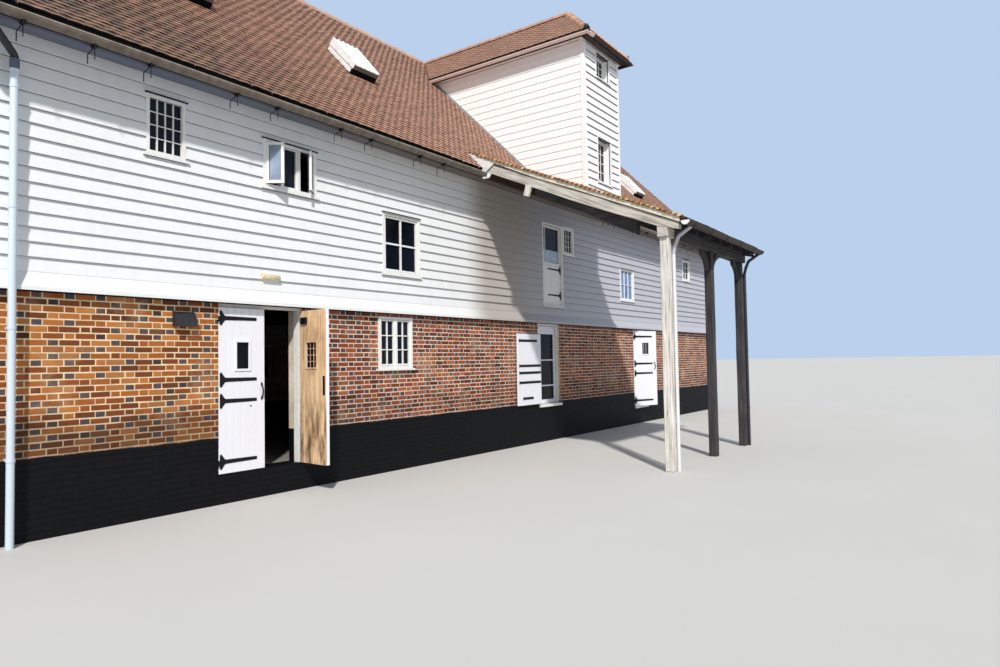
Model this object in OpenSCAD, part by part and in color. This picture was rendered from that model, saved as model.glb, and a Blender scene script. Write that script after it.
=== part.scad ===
// Weatherboarded mill: a long timber storey on a brick ground floor, with a hoist tower over the
// loading door and a low tiled canopy on posts. The front faces -Y, +X runs along it to the right,
// and the origin lies on the ground under the middle of the building.

/* [Building] */
// Length of the building between the outer faces of its gables
building_l = 22700; // [20000:100:26000]
// Depth from the front wall's face to the back wall's face
building_w = 7800; // [7000:100:9000]
// Height of the brick storey, where the boarded storey starts
brick_h = 2750; // [2700:10:3000]
// Thickness of the brick walls
brick_t = 330; // [220:10:450]
// Thickness of the boarded timber walls
timber_t = 180; // [140:10:240]
// Top of the ground floor, level with the first doorway's threshold
ground_floor_z = 400; // [300:10:450]
// Rise of the first floor's top above the bricks
first_floor_rise = 400; // [300:10:500]
// Thickness of a timber floor with its joists
floor_t = 160; // [100:10:240]
// Distance that the boards flare out at the foot of the boarded storey
skirt_flare = 100; // [60:5:140]
// Height of the flared skirt
skirt_h = 200; // [150:10:300]

/* [Main roof] */
// Pitch of the main roof in degrees
roof_pitch = 45; // [40:1:50]
// Height of the tiled surface above the ground at the front wall's face
roof_z = 6150; // [6050:10:6300]
// Distance of the attic floor's top below that height
attic_drop = 590; // [450:10:650]
// Thickness of the tiles, battens and rafters, square to the slope
roof_t = 150; // [100:5:200]
// Overhang of the eaves
eaves_out = 450; // [300:10:550]
// Overhang of the tiles at the gables
verge_out = 100; // [50:5:200]
// Outer radius of the ridge tiles
ridge_r = 130; // [100:5:180]

/* [Openings of the front] */
// Left jamb of the double doorway, from the building's left end
door_1_x = 3000; // [2800:10:3200]
// Width of the double doorway
door_1_w = 1410; // [1300:10:1500]
// Left jamb of the glazed doorway
door_2_x = 11100; // [11000:10:11300]
// Width of the glazed doorway
door_2_w = 950; // [850:10:1000]
// Sill of the glazed doorway
door_2_sill = 860; // [700:10:900]
// Left jamb of the doorway in the shaded end
door_3_x = 16250; // [16000:10:17000]
// Width of the doorway in the shaded end
door_3_w = 920; // [850:10:1000]
// Threshold of the doorway in the shaded end
door_3_sill = 500; // [450:10:560]
// Left side of the loading doorway on the first floor
loading_x = 11330; // [11250:10:11400]
// Width of the loading doorway
loading_w = 920; // [800:10:940]
// Height of the loading doorway
loading_h = 1980; // [1800:10:2100]
// Thickness of the frames round doors and windows
frame_t = 45; // [35:1:60]
// Depth of the frames round doors and windows
frame_d = 100; // [80:5:130]
// Thickness of the door leaves
leaf_t = 40; // [30:1:50]
// Clearance round a door leaf
leaf_gap = 6; // [5:0.5:8]

/* [Hoist tower] */
// Left face of the tower, from the building's left end
tower_x = 10800; // [10600:10:11000]
// Width of the tower
tower_w = 1650; // [1500:10:1800]
// Distance that the tower stands out from the front wall
tower_out = 1500; // [1300:10:1700]
// Drop of the tower's ridge below the main ridge
tower_drop = 60; // [0:10:200]
// Thickness of the tower's walls
tower_t = 160; // [120:5:200]
// Overhang of the tower's eaves
tower_eaves = 200; // [150:10:250]

/* [Canopy] */
// Left edge of the canopy's tiles, from the building's left end
canopy_x = 8450; // [8200:10:8700]
// Width of the canopy along the building
canopy_w = 4400; // [4200:10:5000]
// Distance from the front wall to the canopy's outer eaves
canopy_out = 4500; // [4000:10:4800]
// Height of the tiled surface at the canopy's outer eaves
canopy_z = 4180; // [4000:10:4300]
// Thickness of the canopy's tiles and boarding
canopy_t = 90; // [70:5:130]
// Side of a square canopy post
post_w = 150; // [130:5:200]
// Distance from the front wall to the middle of the posts
post_out = 4150; // [3800:10:4200]
// Depth of the beam that the posts carry
beam_h = 220; // [180:5:280]

/* [Drainage and lights] */
// Outer radius of the gutters
gutter_r = 70; // [50:1:80]
// Thickness of the gutters
gutter_t = 5; // [3:0.5:8]
// Outer radius of the main downpipe
pipe_r = 40; // [32:1:50]
// Outer radius of the canopy's downpipe
canopy_pipe_r = 32; // [25:1:40]

/* [Hidden] */
$fn = 48;

// How far cutting shapes run past what they cut, and the gap left where pieces lie on a slope
past = 50;
lay = 0.2;
// Heights and slopes that follow from the driving sizes
front_y = -building_w / 2;
slope = tan(roof_pitch);
roof_rise = roof_t / cos(roof_pitch);
ridge_z = roof_z + slope * building_w / 2;
// Share of the ridge tiles' radius by which their middle lies below the ridge line
ridge_bed = 0.85;
first_floor_z = brick_h + first_floor_rise;
attic_floor_z = roof_z - attic_drop;
// Boards under the eaves: their thickness, width and underside
soffit_t = 25;
soffit_w = 320;
soffit_z = roof_under(soffit_w) - soffit_t;
canopy_drop = 30;
canopy_slope = (roof_z - canopy_drop - canopy_z) / canopy_out;
canopy_rise = canopy_t * sqrt(1 + canopy_slope * canopy_slope);
// Where the canopy's tiled surface rises out of the main slope
canopy_meet = canopy_drop / (slope - canopy_slope);

// Distance from the left end turned into the model's X
function sx(s) = s - building_l / 2;
// Distance in front of the front wall turned into the model's Y
function oy(out) = front_y - out;
function roof_top(out) = roof_z - slope * out;
function roof_under(out) = roof_top(out) - roof_rise;
function canopy_top(out) = canopy_z + canopy_slope * (canopy_out - out);
function canopy_under(out) = canopy_top(out) - canopy_rise;

// Each window: [left side from the building's left end, sill, width, height]
ground_window = [6000, brick_h - 970, 840, 900];
casement_window = [3700, soffit_z - 1108, 980, 700];
upper_windows = [[1990, soffit_z - 1018, 525, 760], [6120, first_floor_z + 290, 940, 1060],
    [12290, first_floor_z + 1330, 500, 660], [15440, first_floor_z + 390, 860, 890],
    [building_l - 2450, first_floor_z + 1350, 600, 700]];
back_upper = [for (i = [0:4])
    [building_l * (i + 0.5) / 5 - 450, first_floor_z + 750, 900, 900]];
back_lower = [for (i = [1:4]) [building_l * i / 5 - 420, brick_h - 1250, 840, 900]];
// Each gable window: [distance of its near side from the front face, sill, width, height]
gable_windows = [[building_w / 2 - 2200, first_floor_z + 750, 900, 900],
    [building_w / 2 + 1300, first_floor_z + 750, 900, 900],
    [building_w / 2 - 400, attic_floor_z + 1040, 800, 800]];
glass_t = 6;
// How far window frames and the two sill boards stand out, and how thick the boards are
frame_proud = 30;
sill_out = 60;
sill_t = 60;
// Sill boards of the upper windows: how far they stand out and run past the frame, and thickness
board_sill_out = 55;
board_sill_past = 40;
board_sill_t = 35;
// The three-light window: how far its two side sashes swing out, their thickness and stiles
sash_turns = [52, 42];
sash_t = 38;
sash_stile = 38;
light_w = (casement_window[2] - 4 * frame_t) / 3;
sash_w = light_w - 2;
sash_h = casement_window[3] - 2 * frame_t - 6;
skirt_lip = 25;

// Tower: its middle, the roof's rise over its plane, the ridge, and where its walls meet the slope
tower_roof_t = 100;
tower_mid = tower_x + tower_w / 2;
tower_rise = tower_roof_t / cos(roof_pitch);
tower_ridge_z = ridge_z - tower_drop;
tower_h = tower_ridge_z - tower_rise - slope * tower_w / 2;
tower_back = (roof_z - tower_h) / slope;

// The tower's front windows: [left side from the tower's left face, sill, width, height], and how
// far their frames are set back and how deep they are
tower_panes = [[560, tower_h - 790, 610, 540], [560, canopy_top(tower_out) + 380, 610, 1000]];
tower_pane_back = 105;
tower_frame_d = 50;

// Canopy timbers
beam_w = 180;
rafter_w = 80;
rafter_h = 100;
rafter_n = 7;
plate_z = canopy_under(post_out + beam_w / 2) - rafter_h;
post_s = [canopy_x + 160, canopy_x + 0.523 * canopy_w, canopy_x + canopy_w - 230];
// Curved braces between posts and plate: reach along the plate and down the post, and their sizes
brace_reach = 620;
brace_w = 110;
brace_t = 70;

// Doorways: the frames' heads and how far the frames lie behind the wall's face
head_t = 60;
door_head = brick_h - head_t;
frame_back = leaf_t + 10;
// Strap hinges: the pin's distance in front of the leaf, its radius and running clearance, the
// knuckle's radius and height, the arm below it and the strap's thickness and height
pin_off = 14;
pin_r = 8;
pin_play = 0.3;
knuckle_r = 12;
knuckle_h = 50;
arm_h = 25;
strap_t = 5;
strap_h = 50;
// Double door: the meeting line, the leaves' sizes, the right leaf's angle and the panes
door_1_split = 738;
door_1_left_w = door_1_split - 1.5 * leaf_gap;
door_1_right_w = door_1_w - door_1_split - 1.5 * leaf_gap;
door_1_h = door_head - ground_floor_z - 2 * leaf_gap;
door_1_open = 85;
door_1_panes = [[270, 1420, 200, 380], [180, 1420, 260, 380]];
// Heights of each leaf's hinges above its foot, and of the plain straps between them
door_1_hinges = [135, door_1_h - 178];
door_1_straps = [960, 1250];
door_3_h = door_head - door_3_sill - 2 * leaf_gap;
door_3_hinges = [135, door_3_h - 188];
door_3_straps = [920, 1200];
// The strip that covers the double door's joint
cover_w = 60;
cover_t = 20;
// Glazed doorway: the boarded leaf's height and its foot above the sill, and the glazed leaf
door_2_leaf_h = 1590;
door_2_hinges = [180, door_2_leaf_h - 240];
door_2_leaf_foot = 25;
glazed_w = door_2_w - 2 * frame_t - 2 * leaf_gap;
glazed_h = door_head - door_2_sill - 2 * leaf_gap;
glazed_y = front_y + frame_back + frame_d - leaf_t;
stile = 90;
rail = 45;
// Loading door: its leaf, its stiles and the height at which its glass starts
loading_leaf_w = loading_w - 2 * frame_t;
loading_leaf_h = loading_h - 2 * frame_t;
loading_stile = 55;
loading_mid = loading_leaf_h * 0.53;
// Shaded doorway: the leaf's angle, width and window
door_3_open = 22;
door_3_leaf_w = door_3_w - 2 * leaf_gap;
door_3_pane = [330, 1500, 260, 340];

// Gutters and pipes
gutter_z = roof_top(eaves_out) - 125;
canopy_gutter_z = canopy_z - 60;
pipe_out = skirt_flare + pipe_r + 12;
downpipe_x = 500;
// How far to the left of the main downpipe its gutter outlet lies
outlet_side = 400;
// The tower's gutters: their outer radius and how far they hang below the eaves
tower_gutter_r = 50;
tower_gutter_fall = 75;
canopy_pipe_out = post_out - 60;
canopy_pipe_s = [post_s[0] + post_w / 2 + canopy_pipe_r + 15,
    post_s[2] + post_w / 2 + canopy_pipe_r + 15];

// Rooflights: their left sides, width, distance up the slope from the front wall, and length
rooflight_x = [2950, 6890, building_l - 2100];
rooflight_w = 680;
rooflight_low = 2100;
rooflight_len = 1250;
// Their kerbs' thickness, heights at the sides and at the open lower end, and how far they run
// down into the slope, and their lids' thickness, overhang, lip and ribs
kerb_t = 50;
kerb_h = 85;
kerb_low = 25;
kerb_deep = 60;
lid_t = 25;
lid_past = 35;
lid_lip = 30;
lid_ribs = 5;
rib_w = 28;
rib_h = 14;

// Lights: [left side from the building's left end, foot, width, height, depth]
board_lamp = [3650, brick_h + skirt_h + 160, 320, 90, 90];
brick_lamp = [2350, brick_h - 350, 280, 200, 110];

// A box between two stations along the front, two distances in front of it and two heights
module slab(s0, s1, out0, out1, z0, z1) {
    translate([sx(s0), oy(out1), z0]) cube([s1 - s0, out1 - out0, z1 - z0]);
}

// A profile of [distance in front, height] points, run from station s0 to station s1
module run_along(s0, s1, profile) {
    translate([sx(s0), 0, 0]) rotate([90, 0, 90]) linear_extrude(height = s1 - s0)
        polygon([for (p = profile) [oy(p[0]), p[1]]]);
}

// A hole through the front wall for one window
module front_hole(w) {
    slab(w[0], w[0] + w[2], -brick_t - past, past, w[1], w[1] + w[3]);
}

// The same through the back wall
module back_hole(w) {
    mirror([0, 1, 0]) front_hole(w);
}

// A hole through both gables
module gable_hole(w) {
    slab(-past, building_l + past, -w[0] - w[2], -w[0], w[1], w[1] + w[3]);
}

// The footing carries the front wall and rises under the two raised thresholds
module footing() {
    color("dimgray") {
        slab(0, building_l, -brick_t, 0, 0, ground_floor_z);
        slab(door_2_x, door_2_x + door_2_w, -brick_t, 0, ground_floor_z, door_2_sill - sill_t);
        slab(door_3_x, door_3_x + door_3_w, -brick_t, 0, ground_floor_z, door_3_sill - sill_t);
    }
}

module ground_floor() {
    color("gray") slab(brick_t, building_l - brick_t, brick_t - building_w, -brick_t, 0,
        ground_floor_z);
}

// A stretch of the brick front between two doorways
module brick_stretch(s0, s1) {
    color("sienna") slab(s0, s1, -brick_t, 0, ground_floor_z, brick_h);
}

module front_brick_wall_left() {
    brick_stretch(0, door_1_x);
}

module front_brick_wall_middle() {
    difference() {
        brick_stretch(door_1_x + door_1_w, door_2_x);
        front_hole(ground_window);
    }
}

module front_brick_wall_shaded() {
    brick_stretch(door_2_x + door_2_w, door_3_x);
}

module front_brick_wall_right() {
    brick_stretch(door_3_x + door_3_w, building_l);
}

module back_brick_wall() {
    color("sienna") difference() {
        mirror([0, 1, 0]) slab(0, building_l, -brick_t, 0, 0, brick_h);
        for (w = back_lower) back_hole(w);
    }
}

module brick_gable(s0) {
    color("sienna") slab(s0, s0 + brick_t, brick_t - building_w, -brick_t, 0, brick_h);
}

module left_brick_gable() {
    brick_gable(0);
}

module right_brick_gable() {
    brick_gable(building_l - brick_t);
}

// A long boarded wall: its foot flares out over the bricks and its head follows the rafters
module boarded_wall() {
    run_along(0, building_l, [[-timber_t, brick_h], [skirt_flare, brick_h],
        [skirt_flare, brick_h + skirt_lip], [0, brick_h + skirt_h], [0, roof_under(0)],
        [-timber_t, roof_under(-timber_t)]]);
}

module front_boarded_wall() {
    color("white") difference() {
        boarded_wall();
        for (w = concat(upper_windows, [casement_window])) front_hole(w);
        slab(loading_x, loading_x + loading_w, -timber_t - past, past, first_floor_z,
            first_floor_z + loading_h);
    }
}

module back_boarded_wall() {
    color("white") difference() {
        mirror([0, 1, 0]) boarded_wall();
        for (w = back_upper) back_hole(w);
    }
}

module boarded_gable(s0) {
    half = building_w / 2;
    color("white") difference() {
        run_along(s0, s0 + timber_t, [[-timber_t, brick_h], [-timber_t, roof_under(-timber_t)],
            [-half, roof_under(-half)], [timber_t - building_w, roof_under(-timber_t)],
            [timber_t - building_w, brick_h]]);
        for (w = gable_windows) gable_hole(w);
    }
}

module left_boarded_gable() {
    boarded_gable(0);
}

module right_boarded_gable() {
    boarded_gable(building_l - timber_t);
}

// A timber floor between the boarded walls
module timber_floor(top) {
    color("peru") slab(timber_t, building_l - timber_t, timber_t - building_w, -timber_t,
        top - floor_t, top);
}

module first_floor() {
    timber_floor(first_floor_z);
}

module attic_floor() {
    timber_floor(attic_floor_z);
}

// One slope of the main roof, from the eaves to the ridge
module roof_slope() {
    half = building_w / 2;
    run_along(-verge_out, building_l + verge_out, [[eaves_out, roof_top(eaves_out)],
        [-half, roof_top(-half)], [-half, roof_under(-half)], [eaves_out, roof_under(eaves_out)]]);
}

// Puts a piece on the front slope at station s, with +Y up the slope and +Z square to it
module on_slope(s) {
    translate([sx(s), front_y, roof_z]) rotate([roof_pitch, 0, 0]) translate([0, rooflight_low, 0])
        children();
}

// The front slope is open inside the tower and under the rooflights
module front_roof() {
    color("firebrick") difference() {
        roof_slope();
        slab(tower_x + tower_t, tower_x + tower_w - tower_t, tower_back + tower_t, -timber_t,
            attic_floor_z, ridge_z);
        for (s = rooflight_x) on_slope(s)
            translate([0, 0, -2 * roof_t]) cube([rooflight_w, rooflight_len, 3 * roof_t]);
    }
}

module back_roof() {
    color("firebrick") mirror([0, 1, 0]) roof_slope();
}

// Half-round ridge tiles, bedded on both slopes
module ridge_tiles(len) {
    rotate([90, 0, 90]) linear_extrude(height = len) difference() {
        translate([0, -ridge_r * ridge_bed]) circle(r = ridge_r);
        polygon([[0, 0], [2 * ridge_r, -2 * ridge_r * slope], [-2 * ridge_r, -2 * ridge_r * slope]]);
    }
}

module ridge() {
    color("firebrick") translate([sx(-verge_out), 0, ridge_z])
        ridge_tiles(building_l + 2 * verge_out);
}

// The boards that close the underside of one eaves
module soffit() {
    run_along(0, building_l, [[0, soffit_z], [soffit_w, soffit_z],
        [soffit_w, soffit_z + soffit_t], [0, soffit_z + soffit_t]]);
}

module soffits() {
    color("lightsteelblue") {
        soffit();
        mirror([0, 1, 0]) soffit();
    }
}

module tower_walls() {
    color("white") difference() {
        run_along(tower_x, tower_x + tower_w, [[tower_out, tower_h], [tower_back, tower_h],
            [canopy_meet, roof_top(canopy_meet) + lay], [tower_out, canopy_top(tower_out) + lay]]);
        slab(tower_x + tower_t, tower_x + tower_w - tower_t, tower_back - past,
            tower_out - tower_t, canopy_z, tower_h + past);
        for (w = tower_panes)
            slab(tower_x + w[0], tower_x + w[0] + w[2], tower_out - tower_t - past,
                tower_out + past, w[1], w[1] + w[3]);
    }
}

// The tower's gabled and front-hipped roof as a solid, its surface lowered by drop
module tower_roof_form(drop) {
    half = tower_w / 2 + tower_eaves;
    top = tower_ridge_z - drop;
    low = top - slope * half;
    front = tower_out + tower_eaves;
    back = (roof_z - tower_ridge_z) / slope - past;
    difference() {
        translate([sx(tower_mid), oy(back), 0]) rotate([90, 0, 0])
            linear_extrude(height = front - back)
                polygon([[-half, low - past * 4], [-half, low], [0, top], [half, low],
                    [half, low - past * 4]]);
        // The plane of the hipped front
        run_along(tower_mid - half - past, tower_mid + half + past,
            [[front + past, low - slope * past], [front + past, top + past],
            [front - half - past, top + past]]);
    }
}

module tower_roof() {
    far = (roof_z - tower_ridge_z) / slope - 2 * past;
    color("firebrick") difference() {
        tower_roof_form(0);
        tower_roof_form(tower_rise);
        // The main slope that it dies into
        run_along(tower_x - tower_eaves - past, tower_x + tower_w + tower_eaves + past,
            [[tower_out, roof_top(tower_out) + lay], [far, roof_top(far) + lay], [far, 0],
            [tower_out, 0]]);
        translate([sx(tower_x - tower_eaves - past), 0, ridge_z - ridge_r * ridge_bed])
            rotate([0, 90, 0])
                cylinder(h = tower_w + 2 * (tower_eaves + past), r = ridge_r + lay);
    }
}

// Everything under the main slope's tiled surface, which the canopy's pieces are cut to
module main_eaves() {
    run_along(canopy_x - past, canopy_x + canopy_w + past, [[-past, roof_top(-past)],
        [eaves_out, roof_top(eaves_out)], [eaves_out, 0], [-past, 0]]);
}

module canopy_roof() {
    color("firebrick") difference() {
        run_along(canopy_x, canopy_x + canopy_w, [[canopy_out, canopy_top(canopy_out)],
            [0, canopy_top(0)], [0, canopy_under(0)], [canopy_out, canopy_under(canopy_out)]]);
        main_eaves();
    }
}

module canopy_rafters() {
    first = canopy_x + beam_w + 60;
    pitch = (canopy_w - 2 * beam_w - 120 - rafter_w) / (rafter_n - 1);
    color("saddlebrown") difference() {
        for (i = [0:rafter_n - 1])
            run_along(first + i * pitch, first + i * pitch + rafter_w, [[0, canopy_under(0) - lay],
                [canopy_out - 60, canopy_under(canopy_out - 60) - lay],
                [canopy_out - 60, canopy_under(canopy_out - 60) - rafter_h],
                [0, canopy_under(0) - rafter_h]]);
        main_eaves();
    }
}

// A heavy beam under one edge of the canopy, deeper towards its outer end
module verge_beam(s) {
    end = canopy_out - 120;
    run_along(s, s + beam_w - 40, [[0, canopy_under(0) - lay], [end, canopy_under(end) - lay],
        [end, canopy_under(end) - 180], [post_out + 200, canopy_under(post_out + 200) - 270],
        [2400, canopy_under(2400) - 230], [eaves_out, canopy_under(eaves_out) - 170],
        [0, canopy_under(0) - 170]]);
}

module canopy_beams() {
    color("silver") difference() {
        union() {
            verge_beam(canopy_x + 50);
            verge_beam(canopy_x + canopy_w - beam_w - 10);
            slab(canopy_x + 25, canopy_x + canopy_w, post_out - beam_w / 2, post_out + beam_w / 2,
                plate_z - beam_h, plate_z);
        }
        main_eaves();
    }
}

// One post, from the lowest ground up to the plate
module canopy_post(s) {
    slab(s - post_w / 2, s + post_w / 2, post_out - post_w / 2, post_out + post_w / 2, 0,
        plate_z - beam_h);
}

// A curved brace from a post's face up to the plate, on the side that dir (1 or -1) gives
module canopy_brace(s, dir) {
    big = brace_reach * 1.6;
    translate([sx(s) + dir * (post_w / 2 - 1), oy(post_out - brace_t / 2), plate_z - beam_h])
        mirror([dir > 0 ? 0 : 1, 0, 0]) rotate([90, 0, 0]) linear_extrude(height = brace_t)
            difference() {
                polygon([[0, -brace_reach], [0, -brace_reach + 1.6 * brace_w],
                    [brace_reach - 1.6 * brace_w, 0], [brace_reach, 0]]);
                translate([brace_reach * 1.13, -brace_reach * 1.13])
                    circle(r = brace_reach * 0.9, $fn = 48);
            }
}

module canopy_post_left() {
    color("silver") canopy_post(post_s[0]);
}

module canopy_post_middle() {
    color("silver") {
        canopy_post(post_s[1]);
        canopy_brace(post_s[1], 1);
        canopy_brace(post_s[1], -1);
    }
}

module canopy_post_right() {
    color("silver") {
        canopy_post(post_s[2]);
        canopy_brace(post_s[2], -1);
    }
}

// The boarded triangle that closes the canopy's left edge against the main slope
module canopy_cheek() {
    low = roof_under(eaves_out);
    color("white") difference() {
        run_along(canopy_x + 20, canopy_x + 48, [[0, canopy_under(0) - lay],
            [eaves_out + 300, canopy_under(eaves_out + 300) - lay], [eaves_out + 150, low],
            [0, low]]);
        main_eaves();
    }
}

// A rectangular frame standing in the X-Z plane, its face on y = 0 and its depth towards +Y
module frame(w, h, t, d) {
    rotate([90, 0, 0]) translate([0, 0, -d]) linear_extrude(height = d) difference() {
        square([w, h]);
        translate([t, t]) square([w - 2 * t, h - 2 * t]);
    }
}

// A door frame of two jambs and a head, set back behind the leaf
module door_frame(s, w, sill) {
    translate([sx(s), front_y + frame_back, sill]) rotate([90, 0, 0]) translate([0, 0, -frame_d])
        linear_extrude(height = frame_d) difference() {
            square([w, brick_h - sill]);
            translate([frame_t, -past]) square([w - 2 * frame_t, brick_h - sill - head_t + past]);
        }
}

module door_frames() {
    color("white") {
        door_frame(door_1_x, door_1_w, ground_floor_z);
        door_frame(door_2_x, door_2_w, door_2_sill);
        door_frame(door_3_x, door_3_w, door_3_sill);
    }
}

module door_sills() {
    color("white") {
        slab(door_2_x, door_2_x + door_2_w, -brick_t, sill_out, door_2_sill - sill_t, door_2_sill);
        slab(door_3_x, door_3_x + door_3_w, -brick_t, sill_out / 2, door_3_sill - sill_t,
            door_3_sill);
    }
}

// A closed leaf: its hinge edge on x = 0, its outer face on y = 0, with a window cut through
module leaf(w, h, pane) {
    difference() {
        cube([w, leaf_t, h]);
        translate([pane[0], -past, pane[1]]) cube([pane[2], leaf_t + 2 * past, pane[3]]);
    }
}

// The knuckle and strap of one hinge, in the closed leaf's place
module strap(w, z) {
    translate([0, 0, z]) difference() {
        union() {
            translate([0, -strap_t, 0]) cube([w * 0.8, strap_t, strap_h]);
            translate([0, -pin_off, 0]) cylinder(h = knuckle_h, r = knuckle_r);
        }
        translate([0, -pin_off, -past]) cylinder(h = knuckle_h + 2 * past, r = pin_r + pin_play);
    }
}

// A plain strap between the hinges, in the closed leaf's place
module plain_strap(w, z) {
    translate([15, -strap_t, z]) cube([w * 0.8 - 15, strap_t, strap_h]);
}

// The fixed pin of one hinge and the arm that holds it against the wall
module pintle(z) {
    translate([0, -pin_off, z]) {
        translate([0, 0, -arm_h]) cylinder(h = arm_h + knuckle_h - 5, r = pin_r);
        translate([-30, -pin_r, -arm_h]) cube([30, 2 * pin_r, arm_h - pin_play]);
        translate([-30, 0, -arm_h]) cube([18, pin_off, arm_h - pin_play]);
    }
}

// Places a closed leaf that hangs on the left jamb, turned outwards about its pins
module hung_left(s, sill, open) {
    translate([sx(s) + leaf_gap, front_y - pin_off, sill]) rotate([0, 0, -open])
        translate([0, pin_off, 0]) children();
}

// The same on the right jamb
module hung_right(s, sill, open) {
    translate([sx(s) - leaf_gap, front_y - pin_off, sill]) rotate([0, 0, open])
        translate([0, pin_off, 0]) mirror([1, 0, 0]) children();
}

// The same on the left jamb of a frame, turned inwards
module hung_inside(open) {
    translate([sx(door_2_x) + frame_t + leaf_gap, glazed_y + leaf_t + pin_off,
        door_2_sill + leaf_gap])
        rotate([0, 0, open]) mirror([0, 1, 0]) translate([0, pin_off, 0]) children();
}

module door_pintles() {
    color("black") {
        for (z = door_1_hinges) {
            hung_left(door_1_x, ground_floor_z + leaf_gap, 0) pintle(z);
            hung_right(door_1_x + door_1_w, ground_floor_z + leaf_gap, 0) pintle(z);
        }
        for (z = door_2_hinges) {
            hung_left(door_2_x, door_2_sill + door_2_leaf_foot, 0) pintle(z);
            hung_inside(0) pintle(z);
        }
        for (z = door_3_hinges) hung_left(door_3_x, door_3_sill + leaf_gap, 0) pintle(z);
    }
}

module door_1_left_leaf() {
    color("white") hung_left(door_1_x, ground_floor_z + leaf_gap, 0) {
        leaf(door_1_left_w, door_1_h, door_1_panes[0]);
        for (z = door_1_hinges) strap(door_1_left_w, z);
        for (z = door_1_straps) plain_strap(door_1_left_w, z);
    }
}

module door_1_right_leaf() {
    color("white") hung_right(door_1_x + door_1_w, ground_floor_z + leaf_gap, door_1_open) {
        leaf(door_1_right_w, door_1_h, door_1_panes[1]);
        for (z = door_1_hinges) strap(door_1_right_w, z);
        for (z = door_1_straps) plain_strap(door_1_right_w, z);
        translate([door_1_right_w - cover_w, -cover_t, 0]) cube([cover_w, cover_t, door_1_h]);
    }
}

// The boarded outer leaf lies folded back against the wall
module door_2_boarded_leaf() {
    w = door_2_w - 2 * leaf_gap;
    color("white") hung_left(door_2_x, door_2_sill + door_2_leaf_foot, 180) {
        cube([w, leaf_t, door_2_leaf_h]);
        for (z = door_2_hinges) strap(w, z);
    }
}

module door_2_glazed_leaf() {
    panes = 3;
    pane_h = (glazed_h - stile * 2 - (panes - 1) * rail) / panes;
    color("white") hung_inside(0) {
        difference() {
            cube([glazed_w, leaf_t, glazed_h]);
            for (i = [0:panes - 1])
                translate([stile, -past, stile + i * (pane_h + rail)])
                    cube([glazed_w - 2 * stile, leaf_t + 2 * past, pane_h]);
        }
        for (z = door_2_hinges) strap(stile, z);
    }
}

module door_3_leaf() {
    color("white") hung_left(door_3_x, door_3_sill + leaf_gap, door_3_open) {
        leaf(door_3_leaf_w, door_3_h, door_3_pane);
        for (z = door_3_hinges) strap(door_3_leaf_w, z);
        for (z = door_3_straps) plain_strap(door_3_leaf_w, z);
    }
}

// Puts the loading door's leaf in its frame
module loading_place() {
    translate([sx(loading_x) + frame_t, front_y + frame_proud, first_floor_z + frame_t]) children();
}

// The first-floor door: boarded below, glazed above, closed in its frame
module loading_door() {
    color("white") {
        translate([sx(loading_x), front_y - frame_proud, first_floor_z])
            frame(loading_w, loading_h, frame_t, frame_d);
        loading_place() difference() {
            cube([loading_leaf_w, leaf_t, loading_leaf_h]);
            translate([loading_stile, -past, loading_mid])
                cube([loading_leaf_w - 2 * loading_stile, leaf_t + 2 * past,
                    loading_leaf_h - loading_mid - loading_stile]);
        }
    }
}

// Puts a window made in the X-Z plane into the front wall
module front_place(w) {
    translate([sx(w[0]), front_y - frame_proud, w[1]]) children();
}

// The sill board under an upper window's frame
module sill_board(w) {
    slab(w[0] - board_sill_past, w[0] + w[2] + board_sill_past, 0, board_sill_out,
        w[1] - board_sill_t, w[1]);
}

// Puts a window made in the X-Z plane into the tower's front
module tower_place(w) {
    translate([sx(tower_x + w[0]), oy(tower_out) + tower_pane_back, w[1]]) children();
}

module front_windows() {
    color("white") {
        for (w = concat(upper_windows, [ground_window])) front_place(w)
            frame(w[2], w[3], frame_t, frame_d);
        for (w = upper_windows) sill_board(w);
        slab(ground_window[0] - board_sill_past, ground_window[0] + ground_window[2]
            + board_sill_past, 0, board_sill_out, ground_window[1] - board_sill_t,
            ground_window[1]);
        for (w = tower_panes) tower_place(w) frame(w[2], w[3], frame_t, tower_frame_d);
    }
}

// Puts a closed sash made in the X-Z plane on its hinges and swings it out, for light 0 or 2
module sash_place(light) {
    w = casement_window;
    front_place(w) translate([light == 0 ? frame_t - 1 : w[2] - frame_t + 1, 0, frame_t + 3])
        rotate([0, 0, light == 0 ? -sash_turns[0] : sash_turns[1]])
            mirror([light == 0 ? 0 : 1, 0, 0]) children();
}

// The three-light window with its side sashes open
module open_window() {
    w = casement_window;
    color("white") {
        front_place(w) {
            frame(w[2], w[3], frame_t, frame_d);
            for (i = [1, 2]) translate([i * (light_w + frame_t), 0, frame_t - 1])
                cube([frame_t, frame_d, w[3] - 2 * frame_t + 2]);
        }
        sill_board(w);
        for (i = [0, 2]) sash_place(i) frame(sash_w, sash_h, sash_stile, sash_t);
    }
}

// Puts a window made in the X-Z plane into the left gable
module gable_place(w) {
    translate([sx(0) - frame_proud, oy(-w[0] - w[2]), w[1]]) rotate([0, 0, -90]) children();
}

module rear_windows() {
    color("white") {
        mirror([0, 1, 0]) for (w = concat(back_upper, back_lower)) front_place(w)
            frame(w[2], w[3], frame_t, frame_d);
        for (side = [0, 1]) mirror([side, 0, 0]) for (w = gable_windows) gable_place(w)
            frame(w[2], w[3], frame_t, frame_d);
    }
}

// A pane that fills the opening of a frame with stiles t wide, its face at y = back
module pane(w, h, t, back) {
    translate([t, back, t]) cube([w - 2 * t, glass_t, h - 2 * t]);
}

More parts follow.
